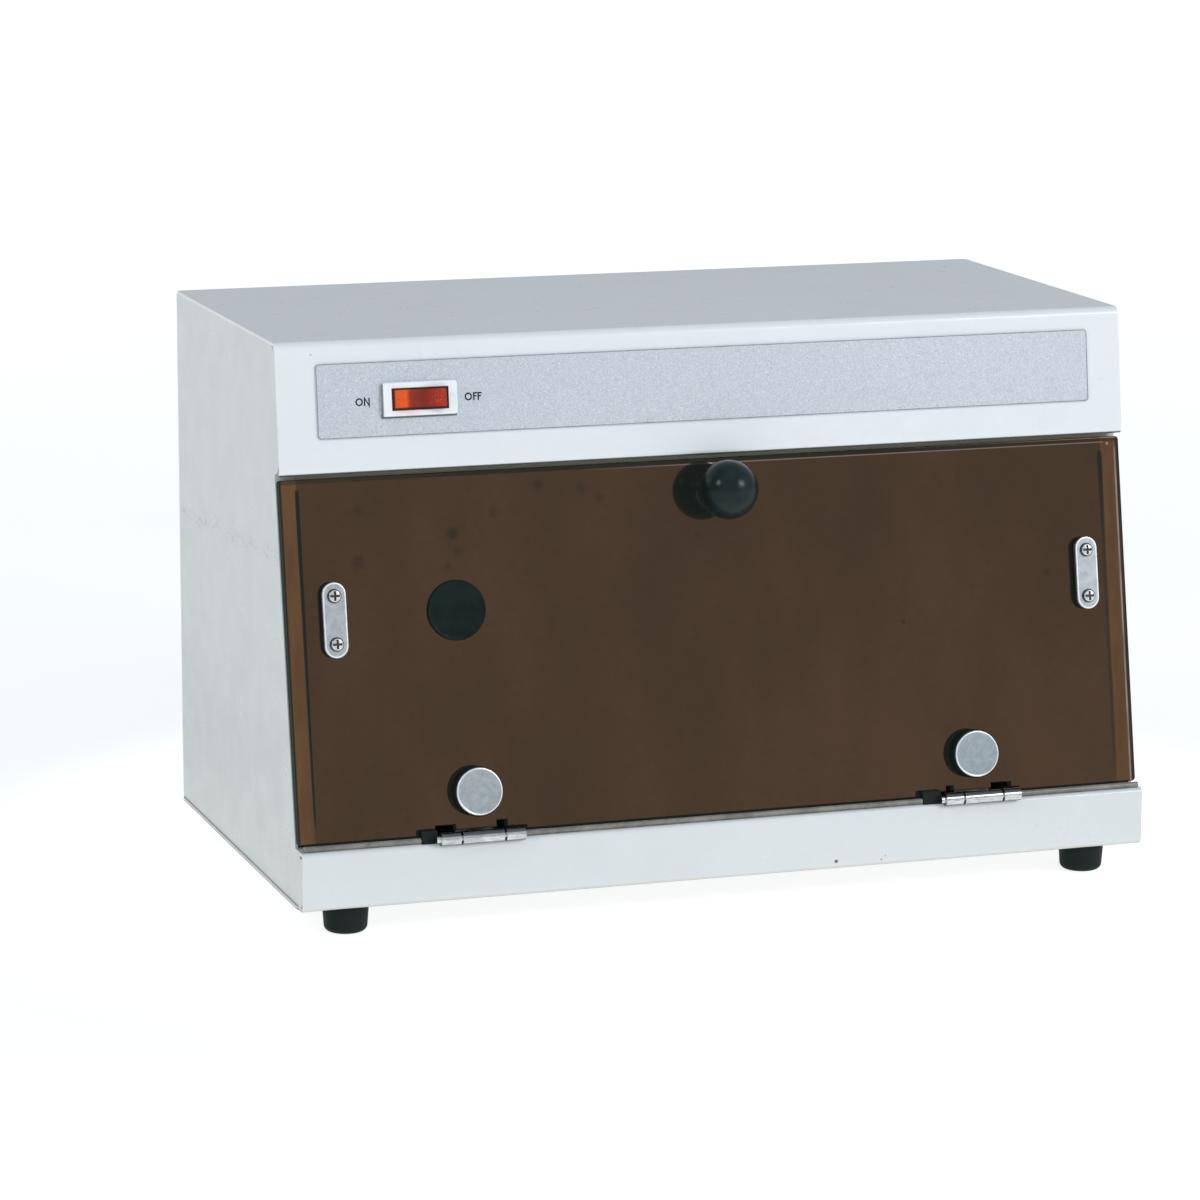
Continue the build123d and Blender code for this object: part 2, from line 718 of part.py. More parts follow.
with BuildPart() as wiring_lamp:
    # switch blades back along the valance to the ballast and the two holders
    wire(
        [
            (SW_X - 8.0, SWB.Y + 1.0, SWB.Z),
            (SW_X - 8.0, -18.0, SWB.Z),
            (SW_X - 8.0, 0.0, ZE + 8.0),
            (-108.0, 46.0, ZE + 4.6),
            (-108.0, 46.0, ZE + 14.0),
            (-82.4, 46.0, ZE + 14.0),
        ],
        1.2,
        3.0,
    )
    wire(
        [
            (SW_X, SWB.Y + 1.0, SWB.Z),
            (SW_X, -30.0, SWB.Z),
            (60.0, -30.0, ZE + 3.0),
            (86.0, 0.0, ZE + 3.0),
            (97.5, 28.0, ZE + 30.0),
            (97.5, 90.0, ZE + 30.0),
            (97.5, 90.0, ZE + 5.0),
            (97.5, 76.2, ZE + 5.0),
        ],
        1.2,
        3.0,
    )
    wire(
        [
            (-2.0, 56.0, ZE + 14.0),
            (24.0, 56.0, ZE + 14.0),
            (24.0, 90.0, ZE + 14.0),
            (74.5, 90.0, ZE + 5.0),
            (74.5, 76.2, ZE + 5.0),
        ],
        1.2,
        3.0,
    )
    wire(
        [
            (69.0, 30.0, ZE + 3.4),
            (120.0, 30.0, ZE + 3.4),
            (163.0, 42.0, ZE + 3.4),
            (163.0, 42.0, 174.5),
            (163.0, 28.0, 174.5),
            (159.4, 28.0, 174.5),
        ],
        1.2,
        1.4,
    )
    wire(
        [
            (35.0, 24.0, ZE + 3.4),
            (24.0, 24.0, ZE + 3.4),
            (20.0, 8.0, ZE + 6.4),
            (-138.0, 8.0, ZE + 6.4),
            (-163.0, 42.0, ZE + 3.4),
            (-163.0, 42.0, 174.5),
            (-163.0, 28.0, 174.5),
            (-159.4, 28.0, 174.5),
        ],
        1.2,
        1.4,
    )
save(wiring_lamp, "wiring_lamp")

with BuildPart() as wire_grommets:
    for x, y in WIRE_HOLES:
        base = Plane.XY.offset(DIV_Z - 1.0).move(Location((x, y, 0)))
        with BuildSketch(base):
            Circle(5.2)
        extrude(amount=1.0)
        with BuildSketch(base):
            Circle(3.95)
        extrude(amount=T + 1.0)
        with BuildSketch(base.offset(T + 1.0)):
            Circle(5.2)
        extrude(amount=1.0)
        with BuildSketch(base):
            Circle(1.5)
        extrude(amount=T + 2.0, mode=Mode.SUBTRACT)
save(wire_grommets, "wire_grommets")

with BuildPart() as back_panel_screws:
    for x, z in [(s * 176.0, z) for s in (-1, 1) for z in (26.5, 122.5, 218.5)] + [
        (-96.0, 228.5),
        (96.0, 228.5),
    ]:
        base = Plane(origin=(x, Y_BACK, z), x_dir=(1, 0, 0), z_dir=(0, 1, 0))
        with BuildSketch(base):
            Circle(2.9)
        extrude(amount=1.9, taper=12)
        with BuildSketch(base.offset(1.9)):
            Rectangle(3.2, 0.75)
            Rectangle(0.75, 3.2)
        extrude(amount=-1.1, mode=Mode.SUBTRACT)
        with BuildSketch(base):
            Circle(1.45)
        extrude(amount=-6.0)
save(back_panel_screws, "back_panel_screws")

# ----------------------------------------------------------------------------
# Rubber feet
# ----------------------------------------------------------------------------
for name, x, y in (
    ("foot_front_left", -FOOT_X, FOOT_YF),
    ("foot_front_right", FOOT_X, FOOT_YF),
    ("foot_rear_left", -FOOT_X, FOOT_YR),
    ("foot_rear_right", FOOT_X, FOOT_YR),
):
    with BuildPart() as foot:
        with BuildSketch(Plane(origin=(x, y, 0), x_dir=(1, 0, 0), z_dir=(0, -1, 0))):
            with BuildLine():
                Line((0, FOOT_H), (9.6, FOOT_H))
                Line((9.6, FOOT_H), (8.9, 2.6))
                ThreePointArc((8.9, 2.6), (8.13, 0.77), (6.3, 0.0))
                Line((6.3, 0.0), (0, 0))
                Line((0, 0), (0, FOOT_H))
            make_face()
        revolve(axis=Axis((x, y, 0), (0, 0, 1)))
        # recess that hides the screw head
        with BuildSketch(Plane.XY.move(Location((x, y, 0)))):
            Circle(4.4)
        extrude(amount=5.0, mode=Mode.SUBTRACT)
        with BuildSketch(Plane.XY.move(Location((x, y, 0)))):
            Circle(2.15)
        extrude(amount=FOOT_H, mode=Mode.SUBTRACT)
    save(foot, name)

with BuildPart() as foot_screws:
    for x in (-FOOT_X, FOOT_X):
        for y in (FOOT_YF, FOOT_YR):
            base = Plane.XY.offset(5.0).move(Location((x, y, 0)))
            with BuildSketch(base):
                Circle(4.0)
            extrude(amount=-2.4)
            with BuildSketch(base.offset(-2.4)):
                Rectangle(4.6, 0.9)
                Rectangle(0.9, 4.6)
            extrude(amount=1.3, mode=Mode.SUBTRACT)
            with BuildSketch(base):
                Circle(1.95)
            extrude(amount=12.0)
            # nut on the cabinet floor
            with BuildSketch(Plane.XY.offset(Z_BASE + T).move(Location((x, y, 0)))):
                RegularPolygon(4.0, 6)
            extrude(amount=3.0)
save(foot_screws, "foot_screws")

# ----------------------------------------------------------------------------
# Catches and bumpers on the front flanges
# ----------------------------------------------------------------------------
CATCH_F = -DOOR_T - 2.0 - 0.4      # face of the magnets, behind the door's front face


def catch(s):
    with BuildSketch(door_at(s * 166.1, PLATE_Y, CATCH_F)) as sk:
        RectangleRounded(18.2, 34.0, 1.5)
    extrude(sk.sketch, amount=-14.0)
    with BuildSketch(door_at(s * 176.5, PLATE_Y, -DOOR_T - 1.0 - T)) as sk:
        Rectangle(11.0, 30.0)
    extrude(sk.sketch, amount=-1.6)
    with BuildSketch(door_at(s * 179.0, PLATE_Y, -DOOR_T)) as sk:
        with Locations((0, 11.0), (0, -11.0)):
            Circle(1.65)
    extrude(sk.sketch, amount=-8, mode=Mode.SUBTRACT)
    # pocket for the magnet and its two pole plates
    with BuildSketch(door_at(s * PLATE_X, PLATE_Y, CATCH_F)) as sk:
        Rectangle(9.4, 26.0)
    extrude(sk.sketch, amount=-6.0, mode=Mode.SUBTRACT)


with BuildPart() as left_catch_body:
    catch(-1)
save(left_catch_body, "left_catch_body")
with BuildPart() as right_catch_body:
    catch(1)
save(right_catch_body, "right_catch_body")

with BuildPart() as catch_magnets:
    for s in (-1, 1):
        with BuildSketch(door_at(s * PLATE_X, PLATE_Y, CATCH_F - 0.6)):
            Rectangle(5.0, 25.6)
        extrude(amount=-5.4)
save(catch_magnets, "catch_magnets")

with BuildPart() as catch_pole_plates:
    for s in (-1, 1):
        for d in (-3.4, 3.4):
            with BuildSketch(door_at(s * PLATE_X + d, PLATE_Y, CATCH_F)):
                Rectangle(1.5, 25.6)
            extrude(amount=-6.0)
save(catch_pole_plates, "catch_pole_plates")

with BuildPart() as catch_rivets:
    for s in (-1, 1):
        for d in (-11.0, 11.0):
            with BuildSketch(door_at(s * 179.0, PLATE_Y + d, -DOOR_T - 1.0)):
                Circle(2.6)
            extrude(amount=0.6)
            with BuildSketch(door_at(s * 179.0, PLATE_Y + d, -DOOR_T - 1.0)):
                Circle(1.6)
            extrude(amount=-T - 1.6)
            with BuildSketch(door_at(s * 179.0, PLATE_Y + d, -DOOR_T - 1.0 - T - 1.6)):
                Circle(2.4)
            extrude(amount=-1.0)
save(catch_rivets, "catch_rivets")

with BuildPart() as door_bumpers:
    for s in (-1, 1):
        for y in (11.0, 136.0):
            with BuildSketch(door_at(s * 179.4, y, -DOOR_T - 1.0)):
                Circle(3.0)
            extrude(amount=0.75)
    # blocks on the sill beside each hinge
    for x0, x1 in ((-133.2, -126.6), (84.3, 92.5)):
        with BuildSketch(Plane.YZ.offset(x0)):
            Polygon((-100.9, Z_SILL), (-96.2, Z_SILL), (-96.2, 41.2), (-98.9, 41.2), align=None)
        extrude(amount=x1 - x0)
save(door_bumpers, "door_bumpers")

# round seal along the sill, under the door's bottom edge
with BuildPart() as sill_seal:
    for x0, x1 in ((-182.0, -133.6), (-90.2, 83.9), (127.1, 182.2)):
        with BuildSketch(Plane.YZ.offset(x0)):
            with Locations((-99.3, Z_SILL + 1.2)):
                Circle(1.2)
            with Locations((-98.9, Z_SILL + 0.35)):
                Rectangle(1.9, 0.7)
        extrude(amount=x1 - x0)
save(sill_seal, "sill_seal")

# ----------------------------------------------------------------------------
# Hinges
# ----------------------------------------------------------------------------
HX = Plane(origin=(0, HINGE_Y, HINGE_Z), x_dir=(0, 1, 0), z_dir=(1, 0, 0))
LEAF_T = 1.0
LEAF_F = -DOOR_T - 0.5             # front of the door leaf's plate
# cap centre, barrel centre, half of the middle knuckle, inner and outer end of the outer ones
HINGES = {
    "left": (-CAP_X, -CAP_X, 8.65, 9.6, 17.7),
    "right": (CAP_X, CAP_X + 1.0, 8.3, 9.25, 16.8),
}


def base_leaf(cx, bx, out0, out1):
    # plate on the sill with a gap for the door leaf
    with BuildSketch(Plane.XY.offset(Z_SILL)) as sk:
        with Locations((bx, (-101.2 - 79.6) / 2)):
            Rectangle(2 * out1, 101.2 - 79.6)
        with Locations((bx, (-104.0 - 88.2) / 2)):
            Rectangle(2 * out0, 104.0 - 88.2, mode=Mode.SUBTRACT)
    extrude(sk.sketch, amount=LEAF_T)
    for a, b in ((-out1, -out0), (out0, out1)):
        with BuildSketch(HX.offset(bx + a)) as sk:
            Circle(KNUCKLE_R)
            with Locations((1.2, Z_SILL + LEAF_T / 2 - HINGE_Z)):
                Rectangle(2.4, LEAF_T)
        extrude(sk.sketch, amount=b - a)
    with BuildSketch(HX.offset(bx - out1 - 1)) as sk:
        Circle(PIN_R)
    extrude(sk.sketch, amount=2 * out1 + 2, mode=Mode.SUBTRACT)
    with BuildSketch(Plane.XY.offset(Z_SILL + LEAF_T)) as sk:
        with Locations((cx - 11.5, -83.2), (cx + 11.5, -83.2)):
            Circle(1.6)
    extrude(sk.sketch, amount=-3, mode=Mode.SUBTRACT)


def door_leaf(cx, bx, mid):
    # plate up the back of the door
    with BuildSketch(door_at(bx, 14.0, LEAF_F)) as sk:
        with Locations((0, -0.6)):
            Rectangle(2 * mid - 1.2, 25.6)
        with Locations((0, 12.2)):
            Ellipse(mid - 0.6, 5.0)
    extrude(sk.sketch, amount=-LEAF_T)
    # strap under the door's edge to the knuckle, bent up into the plate
    yb = door_y(37.7, -LEAF_F + LEAF_T)
    with BuildSketch(Plane.YZ.offset(bx - mid + 0.6)) as sk:
        with BuildLine():
            Polyline(
                (HINGE_Y, STRAP_Z),
                (yb - 0.9, STRAP_Z),
                (yb, STRAP_Z + 0.9),
                (door_y(39.7, -LEAF_F + LEAF_T), 39.7),
                (door_y(39.7, -LEAF_F), 39.7),
                (door_y(37.6, -LEAF_F), STRAP_Z + LEAF_T),
                (HINGE_Y, STRAP_Z + LEAF_T),
                close=True,
            )
        make_face()
    extrude(sk.sketch, amount=2 * mid - 1.2)
    with BuildSketch(HX.offset(bx - mid)) as sk:
        Circle(KNUCKLE_R)
    extrude(sk.sketch, amount=2 * mid)
    with BuildSketch(HX.offset(bx - mid - 1)) as sk:
        Circle(PIN_R + 0.06)
    extrude(sk.sketch, amount=2 * mid + 2, mode=Mode.SUBTRACT)
    with BuildSketch(door_at(cx, CAP_Y, LEAF_F + 1)) as sk:
        Circle(2.2)
    extrude(sk.sketch, amount=-4, mode=Mode.SUBTRACT)


for side, (cx, bx, mid, out0, out1) in HINGES.items():
    with BuildPart() as leaf:
        base_leaf(cx, bx, out0, out1)
    save(leaf, side + "_hinge_base_leaf")
for side, (cx, bx, mid, out0, out1) in HINGES.items():
    with BuildPart() as leaf:
        door_leaf(cx, bx, mid)
    save(leaf, side + "_hinge_door_leaf")

with BuildPart() as hinge_pins:
    for cx, bx, mid, out0, out1 in HINGES.values():
        with BuildSketch(HX.offset(bx - out1)):
            Circle(PIN_R)
        extrude(amount=2 * out1)
        for a, b in ((bx - out1 - 1.8, bx - out1), (bx + out1, bx + out1 + 0.4)):
            with BuildSketch(HX.offset(a)):
                Circle(1.5)
            extrude(amount=b - a)
save(hinge_pins, "hinge_pins")

with BuildPart() as hinge_base_screws:
    for cx in (-CAP_X, CAP_X):
        for d in (-11.5, 11.5):
            base = Plane.XY.offset(Z_SILL + LEAF_T).move(Location((cx + d, -83.2, 0)))
            with BuildSketch(base):
                Circle(2.7)
            extrude(amount=1.5, taper=15)
            with BuildSketch(base.offset(1.5)):
                Rectangle(3.0, 0.65)
                Rectangle(0.65, 3.0)
            extrude(amount=-0.9, mode=Mode.SUBTRACT)
            with BuildSketch(base):
                Circle(1.45)
            extrude(amount=-6.5)
save(hinge_base_screws, "hinge_base_screws")

# ----------------------------------------------------------------------------
# Door
# ----------------------------------------------------------------------------
with BuildPart() as door_panel:
    with BuildSketch(door_at(0, DOOR_L / 2, 0)):
        RectangleRounded(DOOR_W, DOOR_L, DOOR_R)
        # shallow notches over the hinge leaves
        with Locations((-CAP_X, -DOOR_L / 2), (CAP_X, -DOOR_L / 2)):
            Rectangle(42.0, 3.2, mode=Mode.SUBTRACT)
        # and two deeper ones per hinge, over its base screws
        for x, w, h in ((-121.8, 8.6, 3.8), (-97.9, 4.4, 4.4), (98.3, 3.2, 3.8), (121.5, 9.0, 3.8)):
            with Locations((x, -DOOR_L / 2)):
                Rectangle(w, 2 * h, mode=Mode.SUBTRACT)
    extrude(amount=-DOOR_T)
    fillet(
        door_panel.faces().filter_by(lambda f: abs(f.normal_at().dot(DOOR.z_dir) - 1) < 1e-3).edges(),
        0.5,
    )
    with BuildSketch(door_at(0, 0, 1)):
        with Locations((KNOB_X, KNOB_Y)):
            Circle(2.4)
        with Locations((-CAP_X, CAP_Y), (CAP_X, CAP_Y)):
            Circle(3.6)
        with Locations((PLUG_X, PLUG_Y)):
            Circle(9.6)
        with Locations(
            *[(s * PLATE_X, PLATE_Y + d) for s in (-1, 1) for d in (-9.7, 9.7)]
        ):
            Circle(1.7)
    extrude(amount=-DOOR_T - 2, mode=Mode.SUBTRACT)
save(door_panel, "door_panel")


def turned(plane, pts, arcs=()):
    """Solid of revolution about the plane's z axis; pts are (radius, height) pairs."""
    prof = Plane(origin=plane.origin, x_dir=plane.x_dir, z_dir=-plane.y_dir)
    with BuildSketch(prof) as sk:
        with BuildLine():
            i = 0
            while i < len(pts) - 1:
                if i in arcs:
                    ThreePointArc(pts[i], pts[i + 1], pts[i + 2])
                    i += 2
                else:
                    Line(pts[i], pts[i + 1])
                    i += 1
            Line(pts[-1], pts[0])
        make_face()
    revolve(sk.sketch, axis=Axis(plane.origin, plane.z_dir))


KP = door_at(KNOB_X, KNOB_Y, 0)
with BuildPart() as door_knob:
    turned(
        KP,
        [
            (2.0, 0.0),
            (8.6, 0.0),
            (8.9, 0.4),
            (8.7, 0.9),
            (7.5, 4.0),
            (8.4, KNOB_H - (KNOB_R**2 - 8.4**2) ** 0.5),
            (KNOB_R, KNOB_H),
            (8.6, KNOB_H + (KNOB_R**2 - 8.6**2) ** 0.5),
            (4.4, KNOB_H + (KNOB_R**2 - 4.4**2) ** 0.5),
            (0.8, KNOB_H + (KNOB_R**2 - 0.8**2) ** 0.5),
            (0.0, KNOB_H + (KNOB_R**2 - 0.8**2) ** 0.5),
            (0.0, 8.0),
            (2.0, 8.0),
        ],
        arcs=(1, 3, 5, 7),
    )
save(door_knob, "door_knob")

with BuildPart() as knob_screw:
    base = door_at(KNOB_X, KNOB_Y, -DOOR_T)
    with BuildSketch(base):
        Circle(5.0)
    extrude(amount=-0.8)
    with BuildSketch(base.offset(-0.8)):
        Circle(3.6)
    extrude(amount=-2.2, taper=10)
    with BuildSketch(base.offset(-3.0)):
        Rectangle(4.2, 0.9)
        Rectangle(0.9, 4.2)
    extrude(amount=1.2, mode=Mode.SUBTRACT)
    with BuildSketch(base):
        Circle(1.95)
    extrude(amount=DOOR_T + 7.4)
save(knob_screw, "knob_screw")

PP = door_at(PLUG_X, PLUG_Y, 0)
with BuildPart() as port_plug:
    turned(
        PP,
        [
            (0.0, -5.0),
            (10.1, -5.0),
            (10.1, -4.05),
            (9.5, -4.0),
            (9.5, 0.0),
            (12.3, 0.0),
            (12.3, 0.8),
            (12.1, 1.1),
            (11.7, 1.25),
            (10.9, 1.1),
            (0.0, 1.1),
        ],
        arcs=(6,),
    )
save(port_plug, "port_plug")

for name, cx in (("left_hinge_cap", -CAP_X), ("right_hinge_cap", CAP_X)):
    cp = door_at(cx, CAP_Y, 0)
    with BuildPart() as cap:
        turned(
            cp,
            [
                (2.05, -DOOR_T + 0.1),
                (3.4, -DOOR_T + 0.1),
                (3.4, CAP_PAD),
                (9.8, CAP_PAD),
                (9.8, CAP_PAD + 0.7),
                (9.6, CAP_PAD + 1.12),
                (9.15, CAP_PAD + 1.3),
                (8.8, CAP_PAD + 1.2),
                (0.0, CAP_PAD + 1.2),
                (0.0, 2.2),
                (2.05, 2.2),
            ],
            arcs=(4,),
        )
    save(cap, name)

with BuildPart() as hinge_gaskets:
    for cx in (-CAP_X, CAP_X):
        with BuildSketch(door_at(cx, CAP_Y, 0)):
            Circle(10.2)
            Circle(3.5, mode=Mode.SUBTRACT)
        extrude(amount=CAP_PAD)
        with BuildSketch(door_at(cx, CAP_Y, -DOOR_T)):
            Rectangle(15.0, 18.0)
            Circle(3.5, mode=Mode.SUBTRACT)
        extrude(amount=-0.5)
save(hinge_gaskets, "hinge_gaskets")

with BuildPart() as hinge_clamp_screws:
    for cx in (-CAP_X, CAP_X):
        base = door_at(cx, CAP_Y, LEAF_F - LEAF_T)
        with BuildSketch(base):
            Circle(3.8)
        extrude(amount=-2.2, taper=12)
        with BuildSketch(base.offset(-2.2)):
            Rectangle(4.4, 0.9)
            Rectangle(0.9, 4.4)
        extrude(amount=1.2, mode=Mode.SUBTRACT)
        with BuildSketch(base):
            Circle(1.95)
        extrude(amount=-LEAF_F + LEAF_T + 1.8)
save(hinge_clamp_screws, "hinge_clamp_screws")

for name, s in (("left_catch_plate", -1), ("right_catch_plate", 1)):
    with BuildPart() as plate:
        with BuildSketch(door_at(s * PLATE_X, PLATE_Y, PLATE_PAD)):
            SlotOverall(30.6, 10.0, rotation=90)
        extrude(amount=1.8)
        fillet(
            plate.faces().filter_by(lambda f: abs(f.normal_at().dot(DOOR.z_dir) - 1) < 1e-3)
            .sort_by(lambda f: f.center().dot(DOOR.z_dir))[-1].edges(),
            0.5,
        )
        with BuildSketch(door_at(s * PLATE_X, PLATE_Y, 5)):
            with Locations((0, -9.7), (0, 9.7)):
                Circle(1.6)
        extrude(amount=-5, mode=Mode.SUBTRACT)
    save(plate, name)

with BuildPart() as catch_plate_gaskets:
    for s in (-1, 1):
        with BuildSketch(door_at(s * PLATE_X, PLATE_Y, 0)):
            SlotOverall(30.5, 9.9, rotation=90)
            with Locations((0, -9.7), (0, 9.7)):
                Circle(1.7, mode=Mode.SUBTRACT)
        extrude(amount=PLATE_PAD)
save(catch_plate_gaskets, "catch_plate_gaskets")

with BuildPart() as strike_plates:
    for s in (-1, 1):
        with BuildSketch(door_at(s * PLATE_X, PLATE_Y, -DOOR_T)):
            RectangleRounded(11.6, 30.0, 1.5)
            with Locations((0, -9.7), (0, 9.7)):
                Circle(1.35, mode=Mode.SUBTRACT)
        extrude(amount=-2.0)
save(strike_plates, "strike_plates")

with BuildPart() as catch_plate_screws:
    for s in (-1, 1):
        for d in (-9.7, 9.7):
            base = door_at(s * PLATE_X, PLATE_Y + d, PLATE_PAD + 1.8)
            turned(base, [(0, 0), (2.9, 0), (2.75, 0.75), (2.0, 1.35), (0.0, 1.6)], arcs=(1,))
            with BuildSketch(base.offset(1.7)):
                Rectangle(3.9, 0.95)
                Rectangle(0.95, 3.9)
            extrude(amount=-1.1, mode=Mode.SUBTRACT)
            with BuildSketch(base):
                Circle(1.35)
            extrude(amount=-PLATE_PAD - 1.8 - DOOR_T - 1.8)
save(catch_plate_screws, "catch_plate_screws")

# ----------------------------------------------------------------------------
# Wire rack on the chamber floor
# ----------------------------------------------------------------------------
RX, RY0, RY1, RZ = 156.0, -70.0, 86.0, 38.5
with BuildPart() as tool_rack:
    # long rods
    for y in (RY0, (RY0 + RY1) / 2, RY1):
        with BuildSketch(Plane.YZ.offset(-RX)):
            with Locations((y, RZ)):
                Circle(1.6)
        extrude(amount=2 * RX)
    # cross rods lie in the long ones, spaced for small tools
    n = 25
    for i in range(n):
        x = -RX + 6 + (2 * RX - 12) * i / (n - 1)
        with BuildSketch(Plane.XZ.offset(-RY0 + 1.0)):
            with Locations((x, RZ + 1.9)):
                Circle(1.1)
        extrude(amount=-(RY1 - RY0 + 2.0))
    # legs
    for x in (-RX + 12, RX - 12):
        for y in (RY0, RY1):
            with BuildSketch(Plane.XY.offset(Z_BASE + T)):
                with Locations((x, y)):
                    Circle(1.45)
            extrude(amount=RZ - Z_BASE - T - 0.5)
save(tool_rack, "tool_rack")
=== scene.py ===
import json
from math import atan, cos, pi, radians, sin

import bmesh
import bpy
from mathutils import Matrix, Vector


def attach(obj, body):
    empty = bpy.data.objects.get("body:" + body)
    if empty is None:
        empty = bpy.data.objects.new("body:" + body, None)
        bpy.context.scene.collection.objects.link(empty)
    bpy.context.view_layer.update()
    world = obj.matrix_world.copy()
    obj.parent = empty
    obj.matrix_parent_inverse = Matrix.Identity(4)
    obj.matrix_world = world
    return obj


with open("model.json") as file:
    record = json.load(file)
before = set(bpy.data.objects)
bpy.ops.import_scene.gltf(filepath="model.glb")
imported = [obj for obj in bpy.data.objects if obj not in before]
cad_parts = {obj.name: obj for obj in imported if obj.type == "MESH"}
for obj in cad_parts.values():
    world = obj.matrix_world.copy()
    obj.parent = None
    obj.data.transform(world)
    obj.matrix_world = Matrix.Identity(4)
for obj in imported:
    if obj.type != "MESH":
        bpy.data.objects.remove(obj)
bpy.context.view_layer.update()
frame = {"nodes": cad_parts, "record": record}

NODES = frame["nodes"]
SLOT_OF = {p["node"]: p["material_slot"] for p in frame["record"]["subparts"]}
scene = bpy.context.scene

# ----------------------------------------------------------------------------
# Camera: a long lens, a little left of the front and a little above it
# ----------------------------------------------------------------------------
AZ, EL, ROLL = radians(-18.645), radians(11.479), radians(0.222)
back = Vector((sin(AZ) * cos(EL), -cos(AZ) * cos(EL), sin(EL)))
right = (-back).cross(Vector((0, 0, 1))).normalized()
up = right.cross(-back)
side = cos(ROLL) * right + sin(ROLL) * up
top = -sin(ROLL) * right + cos(ROLL) * up
cam_data = bpy.data.cameras.new("camera")
cam_data.sensor_width = 36.0
cam_data.lens = 4712.31 * 36.0 / 1200.0
cam_data.clip_end = 60.0
camera = bpy.data.objects.new("camera", cam_data)
scene.collection.objects.link(camera)
camera.matrix_world = Matrix(
    (
        (side.x, top.x, back.x, -0.65302),
        (side.y, top.y, back.y, -1.86309),
        (side.z, top.z, back.z, 0.50973),
        (0, 0, 0, 1),
    )
)
scene.camera = camera

# ----------------------------------------------------------------------------
# Places on the object, in millimetres, as the model's own planes give them
# ----------------------------------------------------------------------------
A_DOOR = atan(0.183)
DOOR_O = Vector((0, -95.6, 38.2))
DOOR_Y = Vector((0, sin(A_DOOR), cos(A_DOOR)))
DOOR_N = Vector((0, -cos(A_DOOR), sin(A_DOOR)))
A_VAL = atan(7.0 / 51.5)
VAL_O = Vector((0, -72.0, 185.0))
VAL_Y = Vector((0, sin(A_VAL), cos(A_VAL)))
VAL_N = Vector((0, -cos(A_VAL), sin(A_VAL)))
VY = (212.4 - 185.0) / cos(A_VAL)      # the switch's middle, up the valance


def on_door(x, y, h=0.0):
    return DOOR_O + Vector((x, 0, 0)) + y * DOOR_Y + h * DOOR_N


def on_valance(x, z, h=0.0):
    """Point on the valance at height z over the floor, h out from its sheet."""
    return VAL_O + Vector((x, 0, 0)) + (z - 185.0) / cos(A_VAL) * VAL_Y + h * VAL_N


